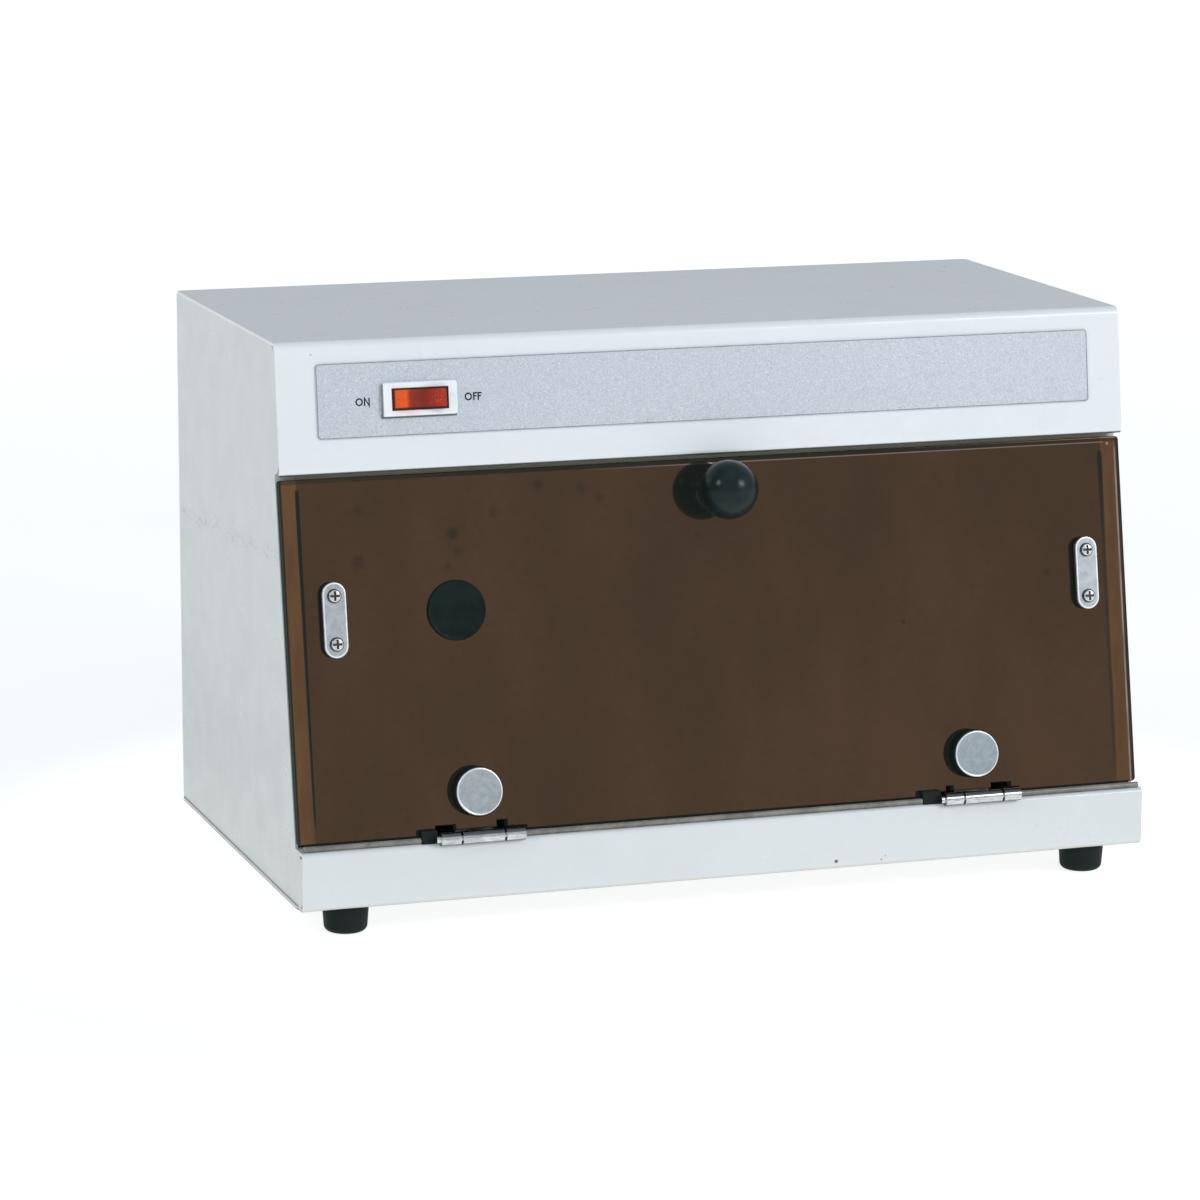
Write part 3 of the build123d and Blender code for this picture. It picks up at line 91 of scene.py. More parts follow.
# ----------------------------------------------------------------------------
# Node helper
# ----------------------------------------------------------------------------
class Mat:
    """One material: a Principled shader fed by procedural nodes in millimetres."""

    def __init__(self, name, **sockets):
        self.m = bpy.data.materials.new(name)
        self.m.use_nodes = True
        self.nt = self.m.node_tree
        self.nt.nodes.clear()
        out = self.new("ShaderNodeOutputMaterial")
        self.b = self.new("ShaderNodeBsdfPrincipled")
        self.nt.links.new(self.b.outputs[0], out.inputs[0])
        for key, value in sockets.items():
            self.b.inputs[key.replace("_", " ")].default_value = value
        tc = self.new("ShaderNodeTexCoord")
        s = self.new("ShaderNodeVectorMath")
        s.operation = "SCALE"
        s.inputs["Scale"].default_value = 1000.0
        self.nt.links.new(tc.outputs["Object"], s.inputs[0])
        self.mm = s.outputs[0]

    def new(self, kind):
        return self.nt.nodes.new(kind)

    def put(self, socket, value):
        if isinstance(value, bpy.types.NodeSocket):
            self.nt.links.new(value, socket)
        else:
            socket.default_value = value

    def set(self, **sockets):
        for key, value in sockets.items():
            self.put(self.b.inputs[key.replace("_", " ")], value)
        return self

    def stretch(self, x, y, z, source=None):
        n = self.new("ShaderNodeVectorMath")
        n.operation = "MULTIPLY"
        self.put(n.inputs[0], source or self.mm)
        n.inputs[1].default_value = (x, y, z)
        return n.outputs[0]

    def noise(self, size, detail=3.0, rough=0.5, at=None, distort=0.0):
        """Noise whose blotches are about size millimetres across, 0 to 1."""
        n = self.new("ShaderNodeTexNoise")
        self.put(n.inputs["Vector"], at or self.mm)
        n.inputs["Scale"].default_value = 1.0 / size
        n.inputs["Detail"].default_value = detail
        n.inputs["Roughness"].default_value = rough
        n.inputs["Distortion"].default_value = distort
        return n.outputs[0]

    def cells(self, size, feature="F1", at=None, out="Distance", random=1.0):
        n = self.new("ShaderNodeTexVoronoi")
        n.feature = feature
        self.put(n.inputs["Vector"], at or self.mm)
        n.inputs["Scale"].default_value = 1.0 / size
        n.inputs["Randomness"].default_value = random
        return n.outputs[out]

    def math(self, op, a, b=0.0, c=0.0, clamp=False):
        n = self.new("ShaderNodeMath")
        n.operation = op
        n.use_clamp = clamp
        self.put(n.inputs[0], a)
        self.put(n.inputs[1], b)
        self.put(n.inputs[2], c)
        return n.outputs[0]

    def span(self, value, a, b, lo=0.0, hi=1.0, smooth=True):
        """value mapped from a..b to lo..hi, held outside it."""
        n = self.new("ShaderNodeMapRange")
        n.interpolation_type = "SMOOTHSTEP" if smooth else "LINEAR"
        self.put(n.inputs["Value"], value)
        n.inputs["From Min"].default_value = a
        n.inputs["From Max"].default_value = b
        n.inputs["To Min"].default_value = lo
        n.inputs["To Max"].default_value = hi
        return n.outputs["Result"]

    def mix(self, fac, a, b):
        n = self.new("ShaderNodeMix")
        n.data_type = "RGBA"
        self.put(n.inputs[0], fac)
        for socket, value in ((n.inputs[6], a), (n.inputs[7], b)):
            if isinstance(value, tuple) and len(value) == 3:
                value = (*value, 1.0)
            self.put(socket, value)
        return n.outputs[2]

    def ramp(self, fac, *stops, hard=False):
        n = self.new("ShaderNodeValToRGB")
        if hard:
            n.color_ramp.interpolation = "CONSTANT"
        els = n.color_ramp.elements
        while len(els) < len(stops):
            els.new(0.5)
        for e, (p, c) in zip(els, stops):
            e.position = p
            e.color = (*c, 1.0) if len(c) == 3 else c
        self.put(n.inputs[0], fac)
        return n.outputs[0]

    def axis(self, which, source=None):
        n = self.new("ShaderNodeSeparateXYZ")
        self.put(n.inputs[0], source or self.mm)
        return n.outputs[which]

    def along(self, origin, direction):
        """Distance of a point from origin along direction, in millimetres."""
        a = self.new("ShaderNodeVectorMath")
        a.operation = "SUBTRACT"
        self.put(a.inputs[0], self.mm)
        a.inputs[1].default_value = origin
        d = self.new("ShaderNodeVectorMath")
        d.operation = "DOT_PRODUCT"
        self.put(d.inputs[0], a.outputs[0])
        d.inputs[1].default_value = direction
        return d.outputs["Value"]

    def spot(self, centre, radius, soft=0.5, squash=(1, 1, 1), wobble=None):
        """1 inside a spot round centre, 0 outside it."""
        v = self.new("ShaderNodeVectorMath")
        v.operation = "SUBTRACT"
        self.put(v.inputs[0], self.mm)
        v.inputs[1].default_value = centre
        w = self.new("ShaderNodeVectorMath")
        w.operation = "MULTIPLY"
        self.put(w.inputs[0], v.outputs[0])
        w.inputs[1].default_value = squash
        d = self.new("ShaderNodeVectorMath")
        d.operation = "LENGTH"
        self.put(d.inputs[0], w.outputs[0])
        dist = d.outputs["Value"]
        if wobble is not None:
            dist = self.math("ADD", dist, wobble)
        return self.span(dist, radius * (1 + soft), radius * (1 - soft))

    def bump(self, height, strength=0.2, distance=0.1, under=None):
        """distance is the height of the relief in millimetres."""
        n = self.new("ShaderNodeBump")
        n.inputs["Strength"].default_value = strength
        n.inputs["Distance"].default_value = distance / 1000.0
        self.put(n.inputs["Height"], height)
        if under is not None:
            self.put(n.inputs["Normal"], under)
        return n.outputs[0]


def grey(v):
    return (v, v, v)


# ----------------------------------------------------------------------------
# Materials
# ----------------------------------------------------------------------------
def enamel(name, base, dark, marks=()):
    """Stoved gloss enamel on sheet steel: faint orange peel, slight yellowing and dust."""
    m = Mat(name, Specular_IOR_Level=0.45, Coat_Weight=0.25, Coat_Roughness=0.12)
    peel = m.noise(2.6, 0.0)
    broad = m.noise(42.0, 4.0, 0.55)
    fine = m.noise(5.0, 5.0, 0.6)
    tone = m.math("ADD", m.math("MULTIPLY", broad, 0.65), m.math("MULTIPLY", fine, 0.35))
    col = m.mix(m.span(tone, 0.34, 0.66), dark, base)
    rough = m.span(m.noise(14.0, 4.0, 0.6), 0.3, 0.7, 0.27, 0.40)
    for fn in marks:
        col, rough = fn(m, col, rough)
    m.set(Base_Color=col, Roughness=rough, Normal=m.bump(peel, 0.06, 0.05))
    return m.m


def scuffs(m, col, rough):
    """A band of faint rubbing marks across the left side."""
    y, z = m.axis(1), m.axis(2)
    line = m.math("MULTIPLY_ADD", y, -0.055, 146.5)
    off = m.math("ABSOLUTE", m.math("SUBTRACT", z, line))
    band = m.span(m.math("ADD", off, m.math("MULTIPLY", m.noise(16.0, 3.0), 9.0)), 10.5, 4.5)
    grain = m.span(m.noise(3.2, 6.0, 0.75, at=m.stretch(1, 0.7, 1.6)), 0.50, 0.60)
    side = m.span(m.axis(0), -182.0, -183.2)
    f = m.math("MULTIPLY", m.math("MULTIPLY", band, grain), side)
    col = m.mix(m.math("MULTIPLY", f, 0.42), col, (0.38, 0.39, 0.36))
    return col, m.math("ADD", rough, m.math("MULTIPLY", f, 0.15))


def side_darker_low(m, col, rough):
    """Slightly greener, darker enamel towards the bottom of a side."""
    f = m.span(m.math("ADD", m.axis(2), m.math("MULTIPLY", m.noise(30.0, 4.0), 60.0)), 150.0, 50.0)
    return m.mix(m.math("MULTIPLY", f, 0.50), col, (0.44, 0.475, 0.45)), rough


def sill_chips_and_shade(m, col, rough):
    """Two small chips near the sill's bend, a darker, warmer band along the bend, and painted shade along the
    underside edge.
    """
    wob = m.math("MULTIPLY", m.math("SUBTRACT", m.noise(0.8, 3.0), 0.5), 0.9)
    chip = m.spot((44.9, -102.0, 15.4), 0.75, 0.3, (1, 0.3, 1), wob)
    chip2 = m.spot((65.0, -102.0, 14.6), 0.45, 0.3, (1, 0.3, 1), wob)
    chip3 = m.spot((66.8, -102.0, 16.2), 0.30, 0.3, (1, 0.3, 1), wob)
    col = m.mix(chip, col, (0.10, 0.095, 0.085))
    col = m.mix(m.math("MULTIPLY", chip2, 0.8), col, (0.16, 0.15, 0.13))
    col = m.mix(m.math("MULTIPLY", chip3, 0.8), col, (0.16, 0.15, 0.13))
    # a darker, warmer band along the lower bend
    lower_bend_tint = m.span(m.math("ADD", m.axis(2), m.math("MULTIPLY", m.noise(22.0, 3.0), 1.2)), 14.6, 13.2)
    col = m.mix(m.math("MULTIPLY", lower_bend_tint, 0.55), col, (0.50, 0.46, 0.38))
    # painted shade along the sill's underside edge
    under = m.span(m.axis(2), 12.55, 12.25)
    col = m.mix(m.math("MULTIPLY", under, 0.85), col, (0.045, 0.045, 0.04))
    return col, rough


def valance_marks_and_shade(m, col, rough):
    c = on_valance(-168.6, 231.6)
    f = m.spot(tuple(c), 0.45, 0.4, (1, 0.5, 1))
    col = m.mix(m.math("MULTIPLY", f, 0.6), col, (0.30, 0.29, 0.27))
    # painted shade: the hem's lower edge is painted dark, and the lip behind the door a dull olive standing for its
    # shade and the brown door's reflection
    edge = m.span(m.axis(2), 184.65, 184.35)
    col = m.mix(m.math("MULTIPLY", edge, 0.92), col, (0.030, 0.036, 0.032))
    lip = m.math("MULTIPLY", m.span(m.axis(1), -68.5, -67.0), m.span(m.axis(2), 184.4, 183.6))
    return m.mix(lip, col, (0.58, 0.565, 0.405)), rough


MATS = {}
ENAMEL = (0.735, 0.775, 0.790)
ENAMEL_D = (0.712, 0.750, 0.764)
MATS["white_enamel"] = enamel("white_enamel", ENAMEL, ENAMEL_D)
# the side panels use a darker, shaded copy of the white enamel: painted shade
enamel_side_shaded = enamel(
    "white_enamel_side_shaded", (0.606, 0.650, 0.636), (0.585, 0.628, 0.614), (side_darker_low, scuffs)
)
# the sill uses a darker, shaded copy of the white enamel: painted shade
enamel_sill_shaded = enamel("white_enamel_base_shaded", (0.636, 0.672, 0.672), (0.616, 0.650, 0.650), (sill_chips_and_shade,))
enamel_top = enamel("white_enamel_cover", ENAMEL, ENAMEL_D, (valance_marks_and_shade,))
MATS["inner_enamel"] = enamel("inner_enamel", (0.70, 0.71, 0.68), (0.64, 0.65, 0.61))


K = 1.44                  # brightness of the brown mirror
DOOR_D = tuple(K * c for c in (0.0534, 0.0257, 0.0135))
DOOR_L = tuple(K * c for c in (0.0724, 0.0362, 0.0188))
# colours of the painted show-through of the side flanges
STRIP_D = tuple(K * c for c in (0.097, 0.044, 0.019))
STRIP = tuple(K * c for c in (0.129, 0.063, 0.028))
STRIP_RD = tuple(K * c for c in (0.093, 0.043, 0.020))
STRIP_R = tuple(K * c for c in (0.123, 0.060, 0.029))


def door_material():
    """Bronze-mirror acrylic: a glossy tinted sheet whose brown is what it reflects, with paler margins
    painted where the side flanges show through, a painted shade line inside each, and painted glints."""
    m = Mat("smoked_acrylic", Specular_IOR_Level=0.06, IOR=1.49)
    x = m.axis(0)
    ax = m.math("ABSOLUTE", x)
    up_ = m.along(tuple(DOOR_O), tuple(DOOR_Y))
    deep = m.along(tuple(DOOR_O), tuple(DOOR_N))
    broad = m.noise(55.0, 4.0, 0.55, at=m.stretch(1.0, 0.45, 0.45))
    fine = m.noise(2.6, 4.0, 0.65)
    tone = m.math("ADD", m.math("MULTIPLY", broad, 0.7), m.math("MULTIPLY", fine, 0.3))
    col = m.mix(m.span(tone, 0.32, 0.68), DOOR_D, DOOR_L)
    wob = m.math("MULTIPLY", m.math("SUBTRACT", m.noise(1.6, 4.0, 0.6), 0.5), 3.2)
    stains = [
        (-112.2, 121.3, 2.4, 0.62), (-110.5, 114.0, 1.6, 0.42), (-152.1, 111.9, 2.5, 0.40),
        (-75.1, 138.9, 2.2, 0.42), (-57.0, 136.6, 2.2, 0.34), (-49.0, 132.3, 1.9, 0.34),
        (-151.4, 132.7, 2.1, 0.30), (-94.5, 128.9, 2.0, 0.30), (-114.7, 108.1, 1.3, 0.34),
        (81.4, 73.8, 0.9, 0.5), (89.5, 77.6, 0.8, 0.35), (146.9, 90.8, 1.1, 0.4),
        (-7.5, 115.3, 1.0, 0.35),
    ]
    for sx, sy, r, k in stains:
        f = m.spot(tuple(on_door(sx, sy)), r, 0.75, (1, 1, 1), wob)
        col = m.mix(m.math("MULTIPLY", f, k), col, (0.024, 0.017, 0.013))
    pale = m.span(m.cells(5.5), 0.05, 0.02)
    keep = m.span(m.noise(31.0, 2.0), 0.60, 0.64)
    col = m.mix(m.math("MULTIPLY", m.math("MULTIPLY", pale, keep), 0.5), col, (0.16, 0.10, 0.065))
    # painted show-through: paler margins where the side flanges lie behind, each with a painted shade line inside it
    streak = m.span(m.noise(9.0, 4.0, 0.6, at=m.stretch(1.4, 0.2, 0.2)), 0.3, 0.7)
    strip = m.mix(m.span(x, -1.0, 1.0), m.mix(streak, STRIP_D, STRIP), m.mix(streak, STRIP_RD, STRIP_R))
    flange_show_through = m.math("ADD", m.span(x, -175.9, -176.6), m.span(x, 174.3, 175.0), clamp=True)
    col = m.mix(flange_show_through, col, strip)
    width = m.span(up_, 5.0, 130.0, 0.30, 0.72, smooth=False)
    # painted shade lines along the flanges' inner edges
    for gx, high in ((-176.0, 143.0), (174.1, 141.4)):
        ends = m.math("MULTIPLY", m.span(up_, 3.5, 12.0), m.span(up_, high, high - 2.2))
        off = m.math("ABSOLUTE", m.math("SUBTRACT", x, gx))
        soft = 0.25 if gx < 0 else 0.65
        line = m.math("MULTIPLY", m.span(m.math("SUBTRACT", off, width), soft, -0.05), ends)
        if gx > 0:
            line = m.math("MULTIPLY", line, m.span(up_, 95.0, 135.0, 0.42, 0.92))
        col = m.mix(m.math("MULTIPLY", line, 0.94), col, (0.012, 0.016, 0.014))
    # painted shade band where the opening's top edge lies behind, with a thin painted highlight line under it
    band = m.span(m.math("ADD", up_, m.math("MULTIPLY", m.noise(12.0, 2.0), 0.5)), 144.2, 144.9)
    col = m.mix(m.math("MULTIPLY", band, m.span(ax, 165.0, 95.0, 0.52, 0.84)), col, (0.019, 0.017, 0.012))
    painted_top_highlight = m.span(m.math("ABSOLUTE", m.math("SUBTRACT", up_, 144.0)), 0.32, 0.08)
    painted_top_highlight = m.math("MULTIPLY", painted_top_highlight, m.span(x, -70.0, 10.0))
    painted_top_highlight = m.math("MULTIPLY", painted_top_highlight, m.span(x, 176.4, 175.4))
    col = m.mix(m.math("MULTIPLY", painted_top_highlight, 0.55), col, (0.42, 0.36, 0.32))
    # along the right edge a painted glint line with a dark line outside it, and a painted glint dot at its top
    outer = m.span(x, 181.45, 181.8)
    col = m.mix(m.math("MULTIPLY", outer, 0.85), col, (0.028, 0.026, 0.024))
    glint = m.span(m.math("ABSOLUTE", m.math("SUBTRACT", x, 181.05)), 0.50, 0.20)
    glint = m.math("MULTIPLY", glint, m.span(up_, 144.0, 138.0))
    glint = m.math("MULTIPLY", glint, m.span(m.noise(22.0, 3.0, at=m.stretch(0.05, 1.0, 1.0)), 0.30, 0.55, 0.45, 1.0))
    col = m.mix(m.math("MULTIPLY", glint, 0.85), col, (0.47, 0.37, 0.335))
    dot = m.spot(tuple(on_door(177.8, 143.3)), 0.58, 0.5)
    col = m.mix(m.math("MULTIPLY", dot, 0.8), col, (0.60, 0.37, 0.28))
    # its left and bottom edges are dark
    rim = m.math("ADD", m.span(x, -182.2, -182.7), m.span(up_, 0.55, 0.25), clamp=True)
    col = m.mix(m.math("MULTIPLY", rim, 0.9), col, (0.014, 0.020, 0.018))
    # the back is plain, and the sawn edges are dark and dull
    col = m.mix(m.span(deep, -3.6, -3.9), col, DOOR_D)
    edge = m.math("MULTIPLY", m.span(deep, -0.25, -0.6), m.span(deep, -3.97, -3.90))
    col = m.mix(edge, col, (0.006, 0.009, 0.005))
    smear = m.noise(24.0, 5.0, 0.65, at=m.stretch(0.6, 1.0, 1.0))
    rough = m.mix(edge, m.span(smear, 0.35, 0.75, 0.035, 0.085), grey(0.6))
    metal = m.mix(edge, grey(0.97), grey(0.0))
    # the faint greenish emission is a painted glow that tints the dark reflections
    m.set(Base_Color=col, Roughness=rough, Metallic=metal,
          Emission_Color=(0.55, 1.0, 0.9, 1.0), Emission_Strength=0.012,
          Normal=m.bump(m.noise(30.0, 2.0), 0.05, 0.2))
    return m.m


MATS["smoked_acrylic"] = door_material()


def label_material():
    """Silver polyester label: fine metallic flake with soft broad shading."""
    m = Mat("label_silver", Specular_IOR_Level=0.5, Coat_Weight=0.2, Coat_Roughness=0.25)
    flake = m.noise(0.30, 3.0, 0.8)
    grain = m.noise(0.75, 3.0, 0.75, at=m.stretch(1.0, 1.3, 1.0))
    broad = m.noise(60.0, 3.0)
    t = m.math("ADD", m.math("MULTIPLY", flake, 0.6), m.math("MULTIPLY", grain, 0.4))
    col = m.ramp(m.span(t, 0.34, 0.66, smooth=False),
                 (0.0, (0.340, 0.373, 0.410)), (0.45, (0.490, 0.530, 0.575)), (1.0, (0.755, 0.790, 0.830)))
    col = m.mix(m.span(broad, 0.3, 0.7, 0.0, 0.12), col, (0.45, 0.49, 0.54))
    # shaded line right below the switch's frame
    v = m.along(tuple(VAL_O), tuple(VAL_Y))
    off = m.math("ABSOLUTE", m.math("SUBTRACT", m.axis(0), -124.8))
    shade = m.math("MULTIPLY", m.span(v, VY - 7.9, VY - 7.3), m.span(off, 16.2, 15.6))
    shade = m.math("MULTIPLY", shade, m.span(v, VY - 5.5, VY - 6.0))
    col = m.mix(m.math("MULTIPLY", shade, 0.80), col, (0.055, 0.058, 0.060))
    m.set(Base_Color=col, Metallic=m.span(grain, 0.3, 0.7, 0.25, 0.42),
          Roughness=m.span(flake, 0.3, 0.7, 0.36, 0.56), Normal=m.bump(flake, 0.20, 0.04))
    return m.m


MATS["label_silver"] = label_material()


def gloss_black(name, base=(0.011, 0.0135, 0.013), rough=(0.10, 0.22), spec=0.32, grain=0.6, relief=0.02):
    m = Mat(name, Specular_IOR_Level=spec)
    n = m.noise(grain, 4.0, 0.6)
    b = m.noise(7.0, 4.0, 0.6)
    dust = m.math("MULTIPLY", m.span(m.cells(1.7), 0.10, 0.04), m.span(m.noise(5.0), 0.52, 0.62))
    col = m.mix(m.span(b, 0.3, 0.7), tuple(c * 0.8 for c in base), tuple(c * 1.3 for c in base))
    col = m.mix(m.math("MULTIPLY", dust, 0.25), col, (0.09, 0.09, 0.085))
    m.set(Base_Color=col, Roughness=m.span(b, 0.3, 0.7, *rough), Normal=m.bump(n, 0.15, relief))
    return m.m


MATS["black_plastic"] = gloss_black("black_plastic", (0.0065, 0.0150, 0.0145), (0.20, 0.28), 0.20)
MATS["black_satin"] = gloss_black("black_satin", (0.0040, 0.0110, 0.0095), (0.40, 0.52), 0.10, 0.4, 0.03)
MATS["rubber_black"] = gloss_black("rubber_black", (0.0070, 0.0125, 0.0112), (0.52, 0.70), 0.14, 0.7, 0.06)
MATS["black_steel"] = gloss_black("black_steel", (0.010, 0.013, 0.012), (0.40, 0.55), 0.15, 0.5, 0.03)
MATS["seal_grey"] = gloss_black("seal_grey", (0.175, 0.170, 0.148), (0.22, 0.34), 0.45, 0.8, 0.03)
MATS["magnet_dark"] = gloss_black("magnet_dark", (0.035, 0.034, 0.033), (0.6, 0.8), 0.3, 0.5, 0.05)


def metal(name, base, rough, grain=None, blotch=0.06, coarse=0.5, relief=0.015, stretch=(1, 1, 1)):
    """Bare metal: grain from its finish, faint tarnish."""
    m = Mat(name, Metallic=1.0)
    g = m.noise(grain or 0.5, 4.0, 0.7, at=m.stretch(*stretch))
    b = m.noise(8.0, 4.0, 0.6)
    t = m.math("ADD", m.math("MULTIPLY", g, coarse), m.math("MULTIPLY", b, 1.0 - coarse))
    lo = tuple(c * (1 - blotch) for c in base)
    hi = tuple(min(1.0, c * (1 + blotch)) for c in base)
    m.set(Base_Color=m.mix(m.span(t, 0.32, 0.68), lo, hi),
          Roughness=m.span(t, 0.3, 0.7, rough[0], rough[1]),
          Normal=m.bump(g, 0.2, relief))
    return m.m


MATS["chrome"] = metal("chrome", (0.70, 0.71, 0.70), (0.10, 0.20), 0.55, 0.24, 0.65, 0.02,
                       (0.16, 1.0, 1.0))


def barrel_chrome():
    """Polished hinge knuckles: streaked along the pin, with painted dark reflections towards their upper and lower
    edges.
    """
    m = metal_base("hinge_chrome")
    g = m.noise(0.55, 4.0, 0.7, at=m.stretch(0.16, 1.0, 1.0))
    b = m.noise(8.0, 4.0, 0.6)
    t = m.math("ADD", m.math("MULTIPLY", g, 0.65), m.math("MULTIPLY", b, 0.35))
    col = m.mix(m.span(t, 0.34, 0.66), (0.37, 0.39, 0.39), (0.70, 0.72, 0.71))
    # painted dark reflection bands along the knuckles' upper and lower edges
    z = m.math("ADD", m.axis(2), m.math("MULTIPLY", m.math("SUBTRACT", g, 0.5), 0.5))
    upper = m.math("MULTIPLY", m.span(z, 39.3, 40.0), 0.85)
    lower = m.math("MULTIPLY", m.span(z, 36.75, 36.25), 0.80)
    col = m.mix(m.math("MAXIMUM", upper, lower), col, (0.070, 0.085, 0.085))
    m.set(Base_Color=col, Roughness=m.span(t, 0.3, 0.7, 0.12, 0.24), Normal=m.bump(g, 0.2, 0.02))
    return m.m


def satin(name, base, centres, half, rough=(0.34, 0.48)):
    """Satin metal, mottled, with a painted highlight band round its rim. half is the distance
    from the middle line of the piece to that band, in millimetres; the middle line runs up the door."""
    m = metal_base(name)
    g = m.noise(0.34, 4.0, 0.7)
    b = m.noise(2.6, 4.0, 0.6)
    t = m.math("ADD", m.math("MULTIPLY", g, 0.5), m.math("MULTIPLY", b, 0.5))
    col = m.mix(m.span(t, 0.34, 0.66), tuple(c * 0.84 for c in base), tuple(c * 1.13 for c in base))
    for cx, cy, run in centres:
        dx = m.math("SUBTRACT", m.axis(0), cx)
        dy = m.math("SUBTRACT", m.along(tuple(DOOR_O), tuple(DOOR_Y)), cy)
        dy = m.math("MAXIMUM", m.math("SUBTRACT", m.math("ABSOLUTE", dy), run), 0.0)
        dist = m.math("SQRT", m.math("ADD", m.math("MULTIPLY", dx, dx), m.math("MULTIPLY", dy, dy)))
        # painted highlight band round the rim
        near = m.span(m.math("ABSOLUTE", m.math("SUBTRACT", dist, half)), 0.42, 0.12)
        col = m.mix(m.math("MULTIPLY", near, 0.8), col, (0.93, 0.95, 0.95))
    m.set(Base_Color=col, Roughness=m.span(t, 0.3, 0.7, *rough), Normal=m.bump(g, 0.2, 0.02))
    return m.m


def metal_base(name):
    return Mat(name, Metallic=1.0)


# the two caps are one satin aluminium: the left a lit copy, the right a darker, shaded copy
cap_left_lit = satin("satin_aluminium_left_lit", (0.370, 0.412, 0.432), [(-108.6, 16.9, 0.0)], 9.35)
cap_right_shaded = satin("satin_aluminium_right_shaded", (0.315, 0.362, 0.392), [(108.6, 16.9, 0.0)], 9.35)
MATS["brushed_plate"] = satin("brushed_plate", (0.42, 0.46, 0.48), [(-164.0, 89.4, 10.3), (164.0, 89.4, 10.3)], 4.5)


def screw_material():
    """Plated screw heads: bright crown, with painted shade in the cross and in a ring where they meet the plate."""
    m = metal_base("screw_chrome")
    h = m.along(tuple(DOOR_O), tuple(DOOR_N))
    g = m.noise(0.5, 4.0, 0.7)
    col = m.mix(m.span(g, 0.3, 0.7), (0.55, 0.57, 0.56), (0.78, 0.80, 0.79))
    painted_recess_shade = m.span(h, 5.40, 5.12)
    col = m.mix(m.math("MULTIPLY", painted_recess_shade, 0.93), col, (0.03, 0.035, 0.033))
    m.set(Base_Color=col, Roughness=m.span(g, 0.3, 0.7, 0.20, 0.34), Normal=m.bump(g, 0.2, 0.02))
    return m.m


screw_metal = screw_material()
hinge_chrome = barrel_chrome()
MATS["zinc_steel"] = metal("zinc_steel", (0.52, 0.53, 0.53), (0.26, 0.42), 0.8, 0.14, 0.5, 0.02)
MATS["rack_wire"] = metal("rack_wire", (0.60, 0.61, 0.60), (0.18, 0.30), 1.0, 0.10, 0.5, 0.015)
MATS["bright_aluminium"] = metal("bright_aluminium", (0.78, 0.79, 0.80), (0.14, 0.24), 0.6, 0.05, 0.6, 0.01,
                                 (0.15, 1.5, 1.5))
MATS["cap_aluminium"] = metal("cap_aluminium", (0.66, 0.67, 0.68), (0.22, 0.34), 0.4, 0.08, 0.6, 0.01)
MATS["ballast_steel"] = metal("ballast_steel", (0.30, 0.29, 0.27), (0.40, 0.58), 0.9, 0.20, 0.5, 0.03)
MATS["brass"] = metal("brass", (0.66, 0.47, 0.20), (0.20, 0.34), 0.7, 0.12, 0.5, 0.012)


def plastic(name, base, rough=(0.30, 0.42), spec=0.45, vary=0.05, relief=0.03, extra=None):
    m = Mat(name, Specular_IOR_Level=spec)
    g = m.noise(0.5, 3.0, 0.6)
    b = m.noise(9.0, 4.0, 0.6)
    col = m.mix(m.span(b, 0.3, 0.7), tuple(c * (1 - vary) for c in base), tuple(min(1, c * (1 + vary)) for c in base))
    if extra:
        col = extra(m, col)
    m.set(Base_Color=col, Roughness=m.span(b, 0.3, 0.7, *rough), Normal=m.bump(g, 0.15, relief))
    return m.m


def bezel_painted_light(m, col):
    """The white bezel gets a painted red reflection of the rocker along its lower lip, painted
    shade inside, and painted grey shade on its left and bottom flanks."""
    # painted red reflection of the rocker on the lower lip
    c = on_valance(-129.5, 207.6, 2.2)
    f = m.spot(tuple(c), 5.2, 0.75, (0.95, 3.2, 3.2))
    col = m.mix(m.math("MULTIPLY", f, 0.38), col, (0.80, 0.30, 0.25))
    h = m.along(tuple(VAL_O), tuple(VAL_N))
    x = m.axis(0)
    v = m.along(tuple(VAL_O), tuple(VAL_Y))
    # painted shade on the left and bottom flanks
    flank_shade = m.math("ADD", m.span(x, -139.75, -140.2), m.span(v, VY - 6.55, VY - 6.9), clamp=True)
    col = m.mix(m.math("MULTIPLY", flank_shade, 0.80), col, (0.075, 0.098, 0.095))
    # painted shade inside the frame's well
    dx = m.span(m.math("ABSOLUTE", m.math("SUBTRACT", x, -124.6)), 12.1, 11.7)
    dv = m.span(m.math("ABSOLUTE", m.math("SUBTRACT", v, VY)), 4.75, 4.35)
    well = m.math("MULTIPLY", dx, dv)
    inside = m.math("MAXIMUM", m.span(h, 1.9, 0.9), well)
    inside = m.math("MULTIPLY", inside, m.math("MULTIPLY",
                    m.span(m.math("ABSOLUTE", m.math("SUBTRACT", x, -124.6)), 13.6, 13.2),
                    m.span(m.math("ABSOLUTE", m.math("SUBTRACT", v, VY)), 5.9, 5.7)))
    return m.mix(m.math("MULTIPLY", inside, 0.94), col, (0.040, 0.018, 0.014))


MATS["switch_plastic"] = plastic("switch_plastic", (0.82, 0.85, 0.87), (0.22, 0.32), 0.5, 0.02, 0.01, bezel_painted_light)
MATS["white_plastic"] = plastic("white_plastic", (0.76, 0.76, 0.73))
MATS["starter_plastic"] = plastic("starter_plastic", (0.72, 0.73, 0.70))
MATS["terminal_plastic"] = plastic("terminal_plastic", (0.62, 0.58, 0.48), (0.4, 0.55))
MATS["wire_red"] = plastic("wire_red", (0.42, 0.03, 0.02), (0.35, 0.5))
MATS["wire_dark"] = plastic("wire_dark", (0.03, 0.05, 0.11), (0.35, 0.5))


